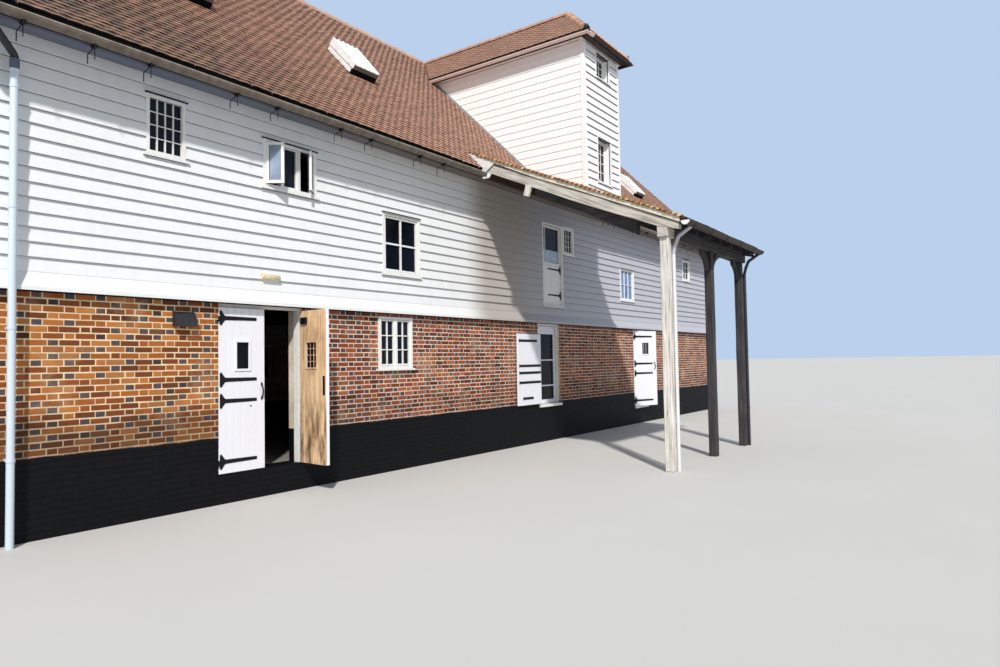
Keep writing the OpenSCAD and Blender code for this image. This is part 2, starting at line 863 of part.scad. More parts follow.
module window_glass() {
    color("lightblue", 0.5) {
        for (w = concat(upper_windows, [ground_window])) front_place(w)
            pane(w[2], w[3], frame_t, frame_d / 2);
        for (w = tower_panes) tower_place(w) pane(w[2], w[3], frame_t, tower_frame_d / 2);
        // The middle light and the two open sashes
        front_place(casement_window) translate([light_w + frame_t, 0, 0])
            pane(light_w + 2 * frame_t, casement_window[3], frame_t, frame_d / 2);
        for (i = [0, 2]) sash_place(i) pane(sash_w, sash_h, sash_stile + lay, sash_t / 2);
        loading_place() translate([loading_stile, leaf_t / 2, loading_mid])
            cube([loading_leaf_w - 2 * loading_stile, glass_t,
                loading_leaf_h - loading_mid - loading_stile]);
        mirror([0, 1, 0]) for (w = concat(back_upper, back_lower)) front_place(w)
            pane(w[2], w[3], frame_t, frame_d / 2);
        for (side = [0, 1]) mirror([side, 0, 0]) for (w = gable_windows) gable_place(w)
            pane(w[2], w[3], frame_t, frame_d / 2);
    }
}

// A half-round gutter along X from station s0 to s1, its back against out
module gutter(s0, s1, out, z) {
    translate([sx(s0), oy(out + gutter_r), z]) rotate([90, 0, 90])
        linear_extrude(height = s1 - s0) difference() {
            circle(r = gutter_r);
            circle(r = gutter_r - gutter_t);
            translate([-gutter_r, 0]) square([2 * gutter_r, gutter_r]);
        }
}

// The tower's gutters: one along each side and one across the front, between their ends
module tower_gutters() {
    half = tower_w / 2 + tower_eaves;
    front = tower_out + tower_eaves;
    z = tower_ridge_z - slope * half - tower_gutter_fall;
    back = (roof_z - z) / slope;
    module trough(len) {
        rotate([90, 0, 90]) linear_extrude(height = len) difference() {
            circle(r = tower_gutter_r);
            circle(r = tower_gutter_r - gutter_t);
            translate([-tower_gutter_r, 0]) square([2 * tower_gutter_r, tower_gutter_r]);
        }
    }
    translate([sx(tower_mid) - half + lay, oy(front + tower_gutter_r), z])
        trough(2 * (half - lay));
    for (side = [-1, 1])
        translate([sx(tower_mid) + side * (half + tower_gutter_r), oy(front + 2 * tower_gutter_r), z])
            rotate([0, 0, 90]) trough(front + 2 * tower_gutter_r - back - tower_gutter_r);
}

module gutters() {
    color("gray") {
        gutter(-verge_out, canopy_x - 10, eaves_out, gutter_z);
        gutter(canopy_x + canopy_w + 10, building_l + verge_out, eaves_out, gutter_z);
        mirror([0, 1, 0]) gutter(-verge_out, building_l + verge_out, eaves_out, gutter_z);
        gutter(canopy_x - 10, canopy_x + canopy_w, canopy_out, canopy_gutter_z);
        tower_gutters();
    }
}

// A round pipe of radius r along points in the X-Z plane
module pipe(points, r, sides = 16) {
    last = len(points) - 1;
    rings = [for (i = [0:last]) let (
            ahead = points[min(i + 1, last)] - points[max(i - 1, 0)],
            across = cross(ahead / norm(ahead), [0, 1, 0]))
        for (k = [0:sides - 1]) let (turn = 360 * k / sides)
            points[i] + r * (cos(turn) * across + sin(turn) * [0, 1, 0])];
    polyhedron(rings, concat(
        [[for (k = [0:sides - 1]) k]],
        [[for (k = [sides - 1:-1:0]) last * sides + k]],
        [for (i = [0:last - 1]) for (k = [0:sides - 1]) let (next = (k + 1) % sides)
            [i * sides + k, (i + 1) * sides + k, (i + 1) * sides + next, i * sides + next]]));
}

// A downpipe whose swan neck leads from above (shift, 0) to the wall line at x = 0. Its top is on
// z = 0 and its foot is depth below
module downpipe(r, shift, depth) {
    turn = 3 * r;
    stub = 2 * r;
    bend = [for (a = [0:15:45]) [turn * (1 - cos(a)), turn * sin(a)]];
    low = stub + 2 * turn * sin(45) + (shift - 2 * turn * (1 - cos(45)));
    pipe(concat([[shift, 0, 0]],
        [for (p = bend) [shift - p[0], 0, -stub - p[1]]],
        [for (i = [3:-1:0]) [bend[i][0], 0, -low + bend[i][1]]],
        [[0, 0, -depth]]), r);
}

module downpipes() {
    color("gray") {
        reach = eaves_out + gutter_r - pipe_out;
        translate([sx(downpipe_x), oy(pipe_out), gutter_z - gutter_r])
            rotate([0, 0, atan2(-reach, -outlet_side)])
                downpipe(pipe_r, norm([reach, outlet_side]), gutter_z - gutter_r);
        for (s = canopy_pipe_s)
            translate([sx(s), oy(canopy_pipe_out), canopy_gutter_z - gutter_r])
                rotate([0, 0, -90]) downpipe(canopy_pipe_r,
                    canopy_out + gutter_r - canopy_pipe_out, canopy_gutter_z - gutter_r);
    }
}

// A kerb that stands in the slope, open at its lower end under the lip of a ribbed lid
module rooflight() {
    difference() {
        translate([0, 0, -kerb_deep]) cube([rooflight_w, rooflight_len, kerb_deep + kerb_h]);
        translate([kerb_t, kerb_t, -kerb_deep - past])
            cube([rooflight_w - 2 * kerb_t, rooflight_len - 2 * kerb_t, kerb_deep + kerb_h + 2 * past]);
        translate([kerb_t, -past, kerb_low])
            cube([rooflight_w - 2 * kerb_t, kerb_t + 2 * past, kerb_h]);
    }
    translate([-lid_past, -lid_past, kerb_h]) {
        cube([rooflight_w + 2 * lid_past, rooflight_len + 2 * lid_past, lid_t]);
        translate([0, 0, -lid_lip]) cube([rooflight_w + 2 * lid_past, lid_past / 2, lid_lip + 1]);
        for (i = [0:lid_ribs - 1])
            translate([i * (rooflight_w + 2 * lid_past - rib_w) / (lid_ribs - 1), 0, lid_t - 1])
                cube([rib_w, rooflight_len + 2 * lid_past, rib_h + 1]);
    }
}

module rooflights() {
    color("white") for (s = rooflight_x) on_slope(s) rooflight();
}

// A box light and a quarter-round light against the front wall
module lamps() {
    color("ivory") slab(board_lamp[0], board_lamp[0] + board_lamp[2], 0, board_lamp[4],
        board_lamp[1], board_lamp[1] + board_lamp[3]);
    color("black") run_along(brick_lamp[0], brick_lamp[0] + brick_lamp[2], concat(
        [[0, brick_lamp[1]]], [for (a = [0:15:90])
            [brick_lamp[4] * cos(a), brick_lamp[1] + brick_lamp[3] * sin(a)]]));
}

footing();
ground_floor();
front_brick_wall_left();
front_brick_wall_middle();
front_brick_wall_shaded();
front_brick_wall_right();
back_brick_wall();
left_brick_gable();
right_brick_gable();
front_boarded_wall();
back_boarded_wall();
left_boarded_gable();
right_boarded_gable();
first_floor();
attic_floor();
front_roof();
back_roof();
ridge();
soffits();
tower_walls();
tower_roof();
canopy_roof();
canopy_rafters();
canopy_beams();
canopy_post_left();
canopy_post_middle();
canopy_post_right();
canopy_cheek();
door_frames();
door_sills();
door_pintles();
door_1_left_leaf();
door_1_right_leaf();
door_2_boarded_leaf();
door_2_glazed_leaf();
door_3_leaf();
loading_door();
front_windows();
open_window();
rear_windows();
window_glass();
gutters();
downpipes();
rooflights();
lamps();
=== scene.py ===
"""Looks of the weatherboarded mill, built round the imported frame.

Everything is in metres in the frame's axes: +X runs along the front, the front faces -Y, +Z is up.
"""

import math
import random

import bmesh
import bpy
from bpy.props import FloatProperty, FloatVectorProperty, PointerProperty
from mathutils import Matrix, Vector, noise


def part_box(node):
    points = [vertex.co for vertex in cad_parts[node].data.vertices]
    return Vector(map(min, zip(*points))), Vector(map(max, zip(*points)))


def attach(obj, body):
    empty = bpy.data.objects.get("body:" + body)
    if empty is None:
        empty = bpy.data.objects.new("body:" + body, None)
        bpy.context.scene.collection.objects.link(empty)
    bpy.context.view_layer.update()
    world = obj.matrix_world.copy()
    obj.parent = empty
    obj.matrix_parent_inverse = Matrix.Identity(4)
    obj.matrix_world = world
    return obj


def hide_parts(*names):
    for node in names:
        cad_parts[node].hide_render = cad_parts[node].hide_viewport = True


bl_info = {
    "name": "Weatherboarded mill",
    "version": (1, 0, 0),
    "blender": (4, 5, 0),
    "location": "3D View > Sidebar > Mill",
    "description": "Builds the boards, bricks, tiles, doors and fittings of a mill round its frame",
    "category": "Object",
}

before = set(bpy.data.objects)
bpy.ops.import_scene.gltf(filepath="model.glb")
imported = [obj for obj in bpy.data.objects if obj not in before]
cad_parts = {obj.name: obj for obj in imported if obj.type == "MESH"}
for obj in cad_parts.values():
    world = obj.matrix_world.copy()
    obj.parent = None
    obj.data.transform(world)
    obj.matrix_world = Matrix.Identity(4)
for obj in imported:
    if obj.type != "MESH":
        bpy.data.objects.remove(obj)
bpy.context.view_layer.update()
QUARTER, ROOT = math.pi / 2, math.sqrt(0.5)

# The main lines of the frame
(LEFT, FRONT, _), (RIGHT, _, _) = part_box("footing")
LONG, DEEP = RIGHT - LEFT, -2 * FRONT
BRICK_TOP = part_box("front_brick_wall_left")[1].z
SKIRT_OUT, SKIRT_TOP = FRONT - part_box("front_boarded_wall")[0].y, BRICK_TOP + 0.2
EAVES_Y, EAVES_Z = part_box("front_roof")[0].y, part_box("soffits")[0].z
RIDGE_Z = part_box("front_roof")[1].z
ROOF_Z = RIDGE_Z + FRONT
ROOF_RISE = 0.15 * math.sqrt(2)
EAVES_TOP = ROOF_Z + EAVES_Y - FRONT
EAVES_TAIL = EAVES_TOP - ROOF_RISE
(TOWER_L, TOWER_FRONT, _), (TOWER_R, _, TOWER_TOP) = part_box("tower_walls")
TOWER_BACK = TOWER_TOP - RIDGE_Z
HIP_LOW, HIP_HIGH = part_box("tower_roof")
HIP_HALF = (HIP_HIGH.x - HIP_LOW.x) / 2
HIP_EAVES = HIP_HIGH.z - HIP_HALF
(CANOPY_L, CANOPY_FRONT, _), (CANOPY_R, _, _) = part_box("canopy_roof")
CANOPY_OUT = FRONT - CANOPY_FRONT
CANOPY_SLOPE, CANOPY_TOP_Z = 1.94 / CANOPY_OUT, 4.18
CANOPY_RISE = 0.09 * math.sqrt(1 + CANOPY_SLOPE**2)
FIRST = BRICK_TOP + 0.4
GUTTER_Z, GUTTER_R, GUTTER_OUT = EAVES_TOP - 0.125, 0.07, 0.45
# How far the canopy's slope and the main slope stand off the front wall where they meet
VALLEY = 0.053

# Windows and the loading doorway: left side from the building's left end, sill, width, height
SMALL_WINDOW = (1.99, EAVES_Z - 1.018, 0.525, 0.76)
WIDE_WINDOW = (6.12, FIRST + 0.29, 0.94, 1.06)
SHADED_WINDOW = (12.29, FIRST + 1.33, 0.5, 0.66)
FAR_WINDOW = (15.44, FIRST + 0.39, 0.86, 0.89)
LAST_WINDOW = (LONG - 2.45, FIRST + 1.35, 0.6, 0.7)
CASEMENT = (3.7, EAVES_Z - 1.108, 0.98, 0.7)
GROUND_WINDOW = (6.0, BRICK_TOP - 0.97, 0.84, 0.9)
LOADING = (11.33, FIRST, 0.92, 1.98)
# Rooflights: left side and distance up the slope from the front wall, then width and length
ROOFLIGHTS, ROOFLIGHT_W, ROOFLIGHT_LONG = ((3.1, 1.95), (6.55, 1.76), (LONG - 3.6, 1.68)), 0.63, 0.93
POSTS = {name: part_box("canopy_" + name) for name in ("post_left", "post_middle", "post_right")}
POST_Y = (POSTS["post_left"][0].y + POSTS["post_left"][1].y) / 2
POST_HALF = (POSTS["post_left"][1].x - POSTS["post_left"][0].x) / 2
PLATE_Z = POSTS["post_left"][1].z + 0.03
PIPE_S, PIPE_OUT, CANOPY_PIPE_S, CANOPY_PIPE_OUT = 0.5, 0.152, (8.732, 12.742), 4.24

# The doorways' left and right ends, and heights of the irons above the foot of each leaf
DOOR_1, DOOR_2, DOOR_3, MEETING = (3.0, 4.41), (11.1, 12.05), (16.25, 17.17), 0.738
DOOR_1_HINGES, DOOR_1_STRAPS = (0.135, 2.1), (0.135, 0.96, 1.25, 2.1)
DOOR_2_HINGES = (0.18, 1.35)
DOOR_3_HINGES, DOOR_3_STRAPS = (0.135, 1.99), (0.135, 0.92, 1.2, 1.99)
LEAF_GAP, LEAF_THICK, PIN_OUT = 0.006, 0.04, 0.014


def sizes():
    return bpy.context.scene.mill_sizes


def station(s):
    """A distance from the building's left end, as X."""
    return LEFT + s


def canopy_top(out):
    """Height of the canopy's tiled surface at a distance in front of the front wall."""
    return CANOPY_TOP_Z + CANOPY_SLOPE * (CANOPY_OUT - out)


def tone(red, green, blue):
    """A colour as it is seen, from 0 to 255, as Blender's linear one."""
    def line(value):
        value /= 255
        return value / 12.92 if value <= 0.04045 else ((value + 0.055) / 1.055) ** 2.4
    return line(red), line(green), line(blue), 1.0


def link(obj):
    bpy.context.scene.collection.objects.link(obj)
    return obj


# Node trees in Python


class Term:
    """A socket that Python sums can use: each sum adds its Math node."""

    def __init__(self, net, socket):
        self.net, self.socket = net, socket

    def other(self, name):
        """Another output of the same node."""
        return Term(self.net, self.socket.node.outputs[name])

    def sum(self, operation, *others, first=None):
        values = (self, *others) if first is None else (first, self, *others)
        return self.net.node("ShaderNodeMath", {"operation": operation}, dict(enumerate(values)))

    def __add__(self, other):
        return self.sum("ADD", other)

    def __sub__(self, other):
        return self.sum("SUBTRACT", other)

    def __rsub__(self, other):
        return self.sum("SUBTRACT", first=other)

    def __mul__(self, other):
        return self.sum("MULTIPLY", other)

    __radd__, __rmul__ = __add__, __mul__

    def above(self, level, soft=0.0):
        """1 above level and 0 below, over a soft edge."""
        if not soft:
            return self.sum("GREATER_THAN", level)
        return self.net.node("ShaderNodeMapRange", {"interpolation_type": "SMOOTHSTEP"},
                             {0: self, 1: level - soft / 2, 2: level + soft / 2})

    def axes(self):
        """The X, Y and Z of a vector."""
        part = self.net.node("ShaderNodeSeparateXYZ", {}, {0: self})
        return part, part.other("Y"), part.other("Z")


class Net:
    """A node tree that takes its nodes from one method."""

    def __init__(self, tree):
        self.tree = tree

    def node(self, kind, settings=None, values=None, out=0):
        node = self.tree.nodes.new(kind)
        for key, value in (settings or {}).items():
            setattr(node, key, value)
        for key, value in (values or {}).items():
            if isinstance(value, Term):
                self.tree.links.new(value.socket, node.inputs[key])
            else:
                node.inputs[key].default_value = value
        return Term(self, node.outputs[out])

    def end(self, kind, term):
        """The tree's output node."""
        self.tree.links.new(term.socket, self.tree.nodes.new(kind).inputs[0])


class Finish(Net):
    """A material whose patterns all read Object coordinates or a piece's own attribute."""

    def __init__(self, name):
        self.material = bpy.data.materials.new(name)
        self.material.use_nodes = True
        super().__init__(self.material.node_tree)
        self.tree.nodes.clear()
        self.place = self.node("ShaderNodeTexCoord", {}, {}, "Object")

    def noise(self, scale, detail=3.0, stretch=(1, 1, 1), shift=0.0, rough=0.55, lean=0.0):
        """Soft noise of about scale patches a metre, drawn out along the axes under 1.

        lean turns the axes about X first.
        """
        place = self.place
        if lean:
            place = self.node("ShaderNodeVectorRotate", {"rotation_type": "X_AXIS"},
                              {"Vector": place, "Angle": lean})
        spot = self.node("ShaderNodeMapping", {}, {"Vector": place, "Scale": stretch,
                                                    "Location": (shift, shift * 0.7, shift * 1.3)})
        return self.node("ShaderNodeTexNoise", {}, {"Vector": spot, "Scale": scale,
                                                     "Detail": detail, "Roughness": rough})

    def under(self, level=-0.5):
        """1 on faces that look down, where the finishes paint shade."""
        facing = self.node("ShaderNodeNewGeometry", {}, {}, "Normal").axes()[2]
        return 1 - facing.above(level, 0.3)

    def own(self, name="tint"):
        """A value that each brick, board or tile has for itself."""
        return self.node("ShaderNodeAttribute", {"attribute_name": name}, {}, "Fac")

    def ramp(self, value, *stops):
        """Colours along a value; each stop is a place and its red, green and blue."""
        term = self.node("ShaderNodeValToRGB", {}, {0: value})
        ramp = term.socket.node.color_ramp
        while len(ramp.elements) < len(stops):
            ramp.elements.new(1.0)
        for element, (place, *shade) in zip(ramp.elements, stops):
            element.position, element.color = place, tone(*shade)
        return term

    def mix(self, share, a, b):
        return self.node("ShaderNodeMix", {"data_type": "RGBA"}, {0: share, 6: a, 7: b}, 2)

    def over(self, colour, *coats):
        """Lays coats of (share, red, green, blue) over a colour, one after the other."""
        for share, *shade in coats:
            colour = self.mix(share, colour, tone(*shade))
        return colour

    def done(self, colour, roughness, bumps, depth=0.003, **fixed):
        """Closes the material; bumps is a height from 0 to 1 and depth its size in metres."""
        values = {"Base Color": colour, "Roughness": roughness, "Normal": self.node(
            "ShaderNodeBump", {}, {"Height": bumps, "Strength": 1.0, "Distance": depth})}
        values.update({key.replace("_", " "): value for key, value in fixed.items()})
        self.end("ShaderNodeOutputMaterial", self.node("ShaderNodeBsdfPrincipled", {}, values))
        return self.material


class Tree(Net):
    """A Geometry Nodes tree with named inputs."""

    KINDS = {float: "NodeSocketFloat", int: "NodeSocketInt", tuple: "NodeSocketVector",
             "object": "NodeSocketObject", "material": "NodeSocketMaterial"}

    def __init__(self, name, **inputs):
        self.group = bpy.data.node_groups.new(name, "GeometryNodeTree")
        super().__init__(self.group)
        new = self.group.interface.new_socket
        for way in ("INPUT", "OUTPUT"):
            new(name="Geometry", in_out=way, socket_type="NodeSocketGeometry")
        for key, value in inputs.items():
            kind = self.KINDS[value if isinstance(value, str) else type(value)]
            socket = new(name=key, in_out="INPUT", socket_type=kind)
            if not isinstance(value, str):
                socket.default_value = value
        self.source = self.tree.nodes.new("NodeGroupInput")

    def input(self, name):
        return Term(self, self.source.outputs[name])

    def vector(self, operation, *values, **named):
        """Vector sums in one node."""
        return self.node("ShaderNodeVectorMath", {"operation": operation},
                         {**dict(enumerate(values)), **named})

    def scatter(self, seed):
        """A vector between -1 and 1 for each point."""
        return self.node("FunctionNodeRandomValue", {"data_type": "FLOAT_VECTOR"},
                         {0: (-1, -1, -1), 1: (1, 1, 1), "Seed": seed})

    def named(self, name):
        return self.node("GeometryNodeInputNamedAttribute", {"data_type": "FLOAT_VECTOR"}, {"Name": name})

    def run(self, name, source, **values):
        """Runs the tree on a mesh and returns what it makes as a plain mesh's object."""
        obj = link(bpy.data.objects.new(name, source))
        grow = obj.modifiers.new("grow", "NODES")
        grow.node_group = self.group
        for item in self.group.interface.items_tree:
            if item.in_out == "INPUT" and item.name in values:
                grow[item.identifier] = values[item.name]
        ready = obj.evaluated_get(bpy.context.evaluated_depsgraph_get())
        mesh = bpy.data.meshes.new_from_object(ready)
        obj.modifiers.clear()
        obj.data = mesh
        return obj


def settle(obj, body="building", replaced=(), smooth=0):
    """Hangs a finished piece on its body and hides the frame's nodes that it stands for.

    Edges flatter than smooth degrees are shaded smooth.
    """
    if smooth:
        obj.data.shade_smooth()
        obj.data.set_sharp_from_angle(angle=math.radians(smooth))
    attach(obj, body)
    if replaced:
        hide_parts(*replaced)
    return obj


# Meshes in Python


class Shape:
    """A mesh in the making, in a local frame that its matrix places."""

    def __init__(self, place=None):
        self.mesh = bmesh.new()
        self.place = place or Matrix.Identity(4)

    def add(self, points, faces, bevel=0.0):
        """Faces over points, with their edges taken off by bevel."""
        verts = [self.mesh.verts.new(self.place @ Vector(p)) for p in points]
        faces = [self.mesh.faces.new([verts[i] for i in face]) for face in faces]
        if bevel:
            edges = list(dict.fromkeys(edge for face in faces for edge in face.edges))
            bmesh.ops.bevel(self.mesh, geom=edges, offset=bevel, segments=1, affect="EDGES",
                            clamp_overlap=True)

    def box(self, low, high, bevel=0.0):
        """A box between any two opposite corners."""
        corners = [(x, y, z) for x in sorted((low[0], high[0])) for y in sorted((low[1], high[1]))
                   for z in sorted((low[2], high[2]))]
        self.add(corners, [(0, 1, 3, 2), (4, 6, 7, 5), (0, 4, 5, 1), (2, 3, 7, 6), (0, 2, 6, 4),
                           (1, 5, 7, 3)], bevel)

    def prism(self, outline, axis, low, high, bevel=0.0):
        """An outline of points in the plane square to an axis, drawn out along it."""
        at, count = "XYZ".index(axis), len(outline)
        self.add([(*p[:at], t, *p[at:]) for t in (low, high) for p in map(tuple, outline)],
                 [tuple(range(count)), tuple(range(2 * count - 1, count - 1, -1))]
                 + [(i, (i + 1) % count, count + (i + 1) % count, count + i)
                    for i in range(count)], bevel)

    def lines(self, outline, low, high):
        """A prism along X from points given as distances in front of the front wall, and heights."""
        self.prism([(FRONT - out, z) for out, z in outline], "X", low, high)

    def tube(self, points, radius, sides):
        """A round bar along points; radius is one number or one for each point."""
        points = [Vector(p) for p in points]
        radii = radius if isinstance(radius, tuple) else [radius] * len(points)
        flat, side = [], None
        for i, p in enumerate(points):
            ahead = (points[min(i + 1, len(points) - 1)] - points[max(i - 1, 0)]).normalized()
            side = side or ahead.orthogonal()
            side = (side - ahead * side.dot(ahead)).normalized()
            up = ahead.cross(side)
            flat += [p + radii[i] * (math.cos(a) * side + math.sin(a) * up)
                     for a in (2 * math.pi * k / sides for k in range(sides))]
        faces = [(i * sides + k, i * sides + (k + 1) % sides,
                  (i + 1) * sides + (k + 1) % sides, (i + 1) * sides + k)
                 for i in range(len(points) - 1) for k in range(sides)]
        last = (len(points) - 1) * sides
        self.add(flat, faces + [tuple(range(sides)), tuple(range(last + sides - 1, last - 1, -1))])

    def turned(self, profile, sides):
        """A profile of [radius, height] points turned about Z."""
        count = len(profile)
        self.add([(r * math.cos(a), r * math.sin(a), z)
                  for a in (2 * math.pi * k / sides for k in range(sides)) for r, z in profile],
                 [(k * count + i, (k + 1) % sides * count + i, (k + 1) % sides * count + i + 1,
                   k * count + i + 1) for k in range(sides) for i in range(count - 1)])

    def roughen(self, amount, scale, step):
        """Cuts the long edges about step apart and moves the skin by noise, the same on each run."""
        noise.seed_set(8)
        for _ in range(6):
            long = [e for e in self.mesh.edges if e.calc_length() > step]
            if not long:
                break
            bmesh.ops.subdivide_edges(self.mesh, edges=long, cuts=1, use_grid_fill=True)
        for v in self.mesh.verts:
            v.co += amount * noise.noise_vector(v.co * scale)

    def take(self, part):
        """Adds a finished part and uses it up."""
        mesh = part.finish()
        self.mesh.from_mesh(mesh)
        bpy.data.meshes.remove(mesh)

    def finish(self):
        bmesh.ops.remove_doubles(self.mesh, verts=self.mesh.verts, dist=1e-6)
        bmesh.ops.dissolve_degenerate(self.mesh, edges=self.mesh.edges, dist=1e-7)
        bmesh.ops.recalc_face_normals(self.mesh, faces=self.mesh.faces)
        mesh = bpy.data.meshes.new("mesh")
        self.mesh.to_mesh(mesh)
        self.mesh.free()
        return mesh

    def piece(self, name, material, body="building", replaced=(), smooth=0, upright=None):
        """Makes the shape a piece; upright tells timber which way its grain runs."""
        mesh = self.finish()
        mesh.materials.append(finish(material))
        obj = settle(link(bpy.data.objects.new(name, mesh)), body, replaced, smooth)
        if upright is not None:
            layer = mesh.attributes.new("upright", "FLOAT", "POINT")
            layer.data.foreach_set("value", [upright] * len(mesh.vertices))
        return obj


# Finishes


def streaks(f):
    """Stains that rain has drawn down a wall."""
    return f.noise(9.0, 4.0, (1, 1, 0.07)).above(0.55, 0.4)


def board_paint():
    f = Finish("board_paint")
    tint = f.own()
    x, y, z = f.place.axes()
    tower = z.above(6.0).sum("MAXIMUM", 1 - y.above(FRONT - 0.2))
    worn = f.noise(1.3, 5.0, shift=9.0).above(0.6, 0.25)
    # Painted light: the last coat paints the tower's boards, and all boards above 6 m, a brighter white.
    colour = f.over((*bpy.context.scene.mill_colours.boards, 1), (tint * 0.5, 236, 238, 242),
                    (streaks(f) * 0.12, 200, 204, 208), (worn * 0.15, 214, 214, 208),
                    (tower, 252, 252, 253))
    # Painted shade on the front from the canopy's left end rightwards: brown near it, blue-grey further right.
    shaded = f.over(tone(158, 146, 134), (x.above(-0.6, 2.0), 166, 166, 178))
    front = 1 - y.above(FRONT + 0.03, 0.02)
    colour = f.mix(x.above(-2.6, 0.9) * (1 - tower) * front * 0.75, colour, shaded)
    # Painted shade on the boards' undersides, left off on the tower's left face and on the boards above 6 m
    # left of it.
    pale = tower * (1 - x.above(TOWER_L + 0.005))
    colour = f.over(colour, (f.under() * (1 - pale), 84, 84, 88))
    grain = f.noise(60.0, 3.0, (0.06, 0.06, 1), 3.0)
    return f.done(colour, 0.5, grain + tint * 0.3, 0.0012, Specular_IOR_Level=0.35)


def gloss_paint(name="gloss_paint", shade=None, roughness=0.35, dirty=1.0, soiled=(178, 176, 168),
                under=(92, 90, 90), **fixed):
    f = Finish(name)
    base = tone(*shade) if shade else (*bpy.context.scene.mill_colours.trim, 1)
    dirt = f.noise(14.0, 5.0).above(0.62, 0.3)
    colour = f.over(base, (dirt * 0.3 * dirty, *soiled), (streaks(f) * 0.12 * dirty, *soiled))
    # Faces that look down get painted shade.
    if under:
        colour = f.over(colour, (f.under(), *under))
    return f.done(colour, roughness, f.noise(90.0, 2.0, (1, 1, 0.1)), 0.0006, **fixed)


def soffit_paint():
    """Painted shade: blue-grey at the left end, brown towards the shaded end."""
    f = Finish("soffit_paint")
    colour = f.over(tone(104, 114, 134), (f.place.axes()[0].above(-6.5, 6.0), 112, 102, 94),
                    (f.noise(8.0, 4.0) * 0.3, 96, 92, 90))
    return f.done(colour, 0.6, f.noise(40.0), 0.001)


def tar_share(f):
    """Where the foot of the walls is tarred."""
    return 1 - (f.place.axes()[2] - f.noise(3.0, 3.0) * 0.05).above(sizes().tar_top - 0.025, 0.02)


def right_share(f):
    """1 on the bricks right of the double doorway."""
    return f.place.axes()[0].above(-7.2)


def low_dark_share(f):
    """Where the walls above the tar are darker, most of it near the left end."""
    x, _, z = f.place.axes()
    edge = f.noise(1.5, 4.0, shift=6.0) * 0.7
    return (1 - (z - edge).above(0.95, 0.3)) * (1 - x.above(-8.0, 2.0) * 0.6)


def brick():
    f = Finish("brick")
    tint = f.own() + f.noise(30.0, 2.0) * 0.12 - 0.06
    left = f.ramp(tint, (0.0, 104, 60, 38), (0.25, 140, 76, 38), (0.55, 168, 96, 46),
                  (0.85, 194, 124, 66), (1.0, 150, 104, 72))
    right = f.ramp(tint, (0.0, 86, 44, 38), (0.3, 126, 62, 46), (0.6, 152, 78, 54),
                   (0.85, 174, 98, 68), (1.0, 130, 82, 66))
    lot = (f.own() * 13.7).sum("FRACT")
    burnt = f.own("kind") * (1 - lot.above(0.42 + right_share(f) * 0.3))
    colour = f.mix(burnt * 0.9, f.mix(right_share(f), left, right),
                   f.over(tone(54, 56, 68), (f.noise(14.0), 92, 90, 98)))
    colour = f.over(colour, ((1 - lot.above(0.07)) * 0.6, 58, 40, 36),
                    (f.noise(160.0, 2.0).above(0.6, 0.1) * 0.4, 84, 52, 42),
                    (f.noise(2.2, 4.0, shift=4.0).above(0.62, 0.2) * 0.25, 206, 180, 146),
                    (low_dark_share(f) * 0.55, 52, 38, 32))
    tar = tar_share(f)
    colour = f.mix(tar, colour, f.over(tone(8, 8, 10), (f.noise(12.0, 4.0), 20, 20, 24)))
    return f.done(colour, 0.9 - tar * 0.3, f.noise(120.0, 4.0), 0.002, Specular_IOR_Level=0.15)


def mortar():
    f = Finish("mortar")
    tar = tar_share(f)
    colour = f.over(tone(248, 226, 190), (right_share(f), 240, 222, 202),
                    (f.noise(7.0, 5.0).above(0.5, 0.4) * 0.5, 180, 154, 122),
                    (low_dark_share(f) * 0.6, 96, 78, 62), (tar, 10, 10, 12))
    return f.done(colour, 0.95 - tar * 0.3, f.noise(200.0, 4.0), 0.002, Specular_IOR_Level=0.15)


CLAY = ((0.0, 58, 42, 42), (0.12, 92, 62, 56), (0.25, 138, 94, 80), (0.6, 166, 114, 94),
        (0.85, 190, 138, 112), (1.0, 208, 168, 142))
SALMON = ((0.0, 168, 96, 70), (0.5, 214, 142, 108), (1.0, 236, 184, 154))


def roof_tile(name="roof_tile", stops=CLAY):
    """Clay, paler to the right, mossy and dark towards the left eaves, with a painted highlight near each
    tile's foot and painted shade at its head and on faces that look down.
    """
    f = Finish(name)
    x, _, z = f.place.axes()
    left, up = 1 - x.above(-7.5, 5.0), f.own("head")
    moss = f.noise(1.6, 6.0, shift=2.0, rough=0.7).above(0.54, 0.16)
    dusk = (f.noise(5.0, 3.0, (1, 1, 1), 5.0).above(0.5, 0.2) + 1 - z.above(6.7, 1.6)) * left
    colour = f.over(f.ramp(f.own() * 0.6 + f.noise(4.0, 5.0) * 0.3 + 0.095, *stops),
                    (x.above(-5.0, 7.0) * 0.42, 212, 168, 146),
                    (moss * (0.1 + (1 - z.above(6.9, 2.4)) * left * 0.5), 150, 134, 70),
                    (dusk * 0.5, 56, 46, 42),
                    (f.noise(26.0, 4.0, rough=0.7).above(0.64, 0.06) * 0.5, 204, 178, 148),
                    # Painted highlight near each tile's foot, painted shade at its head and on faces that look
                    # down.
                    ((1 - up.above(0.22, 0.3)) * 0.35, 222, 176, 146),
                    (up.above(0.5, 0.4) * 0.72, 38, 26, 24), (f.under(-0.25), 22, 15, 14))
    return f.done(colour, 0.92, f.noise(90.0, 4.0), 0.003)


def verge_tile():
    """Tile ends bedded in ochre mortar."""
    f = Finish("verge_tile")
    colour = f.ramp(f.own() + f.noise(14.0, 3.0) * 0.4 - 0.2, (0.0, 140, 92, 62), (0.4, 196, 138, 90),
                    (0.75, 226, 178, 122), (1.0, 240, 208, 160))
    # Painted shade at each tile's head and on faces that look down.
    colour = f.over(colour, (f.own("head").above(0.5, 0.2) * 0.8, 30, 20, 16),
                    (f.under(-0.3), 16, 12, 10))
    return f.done(colour, 0.92, f.noise(90.0, 4.0), 0.003)


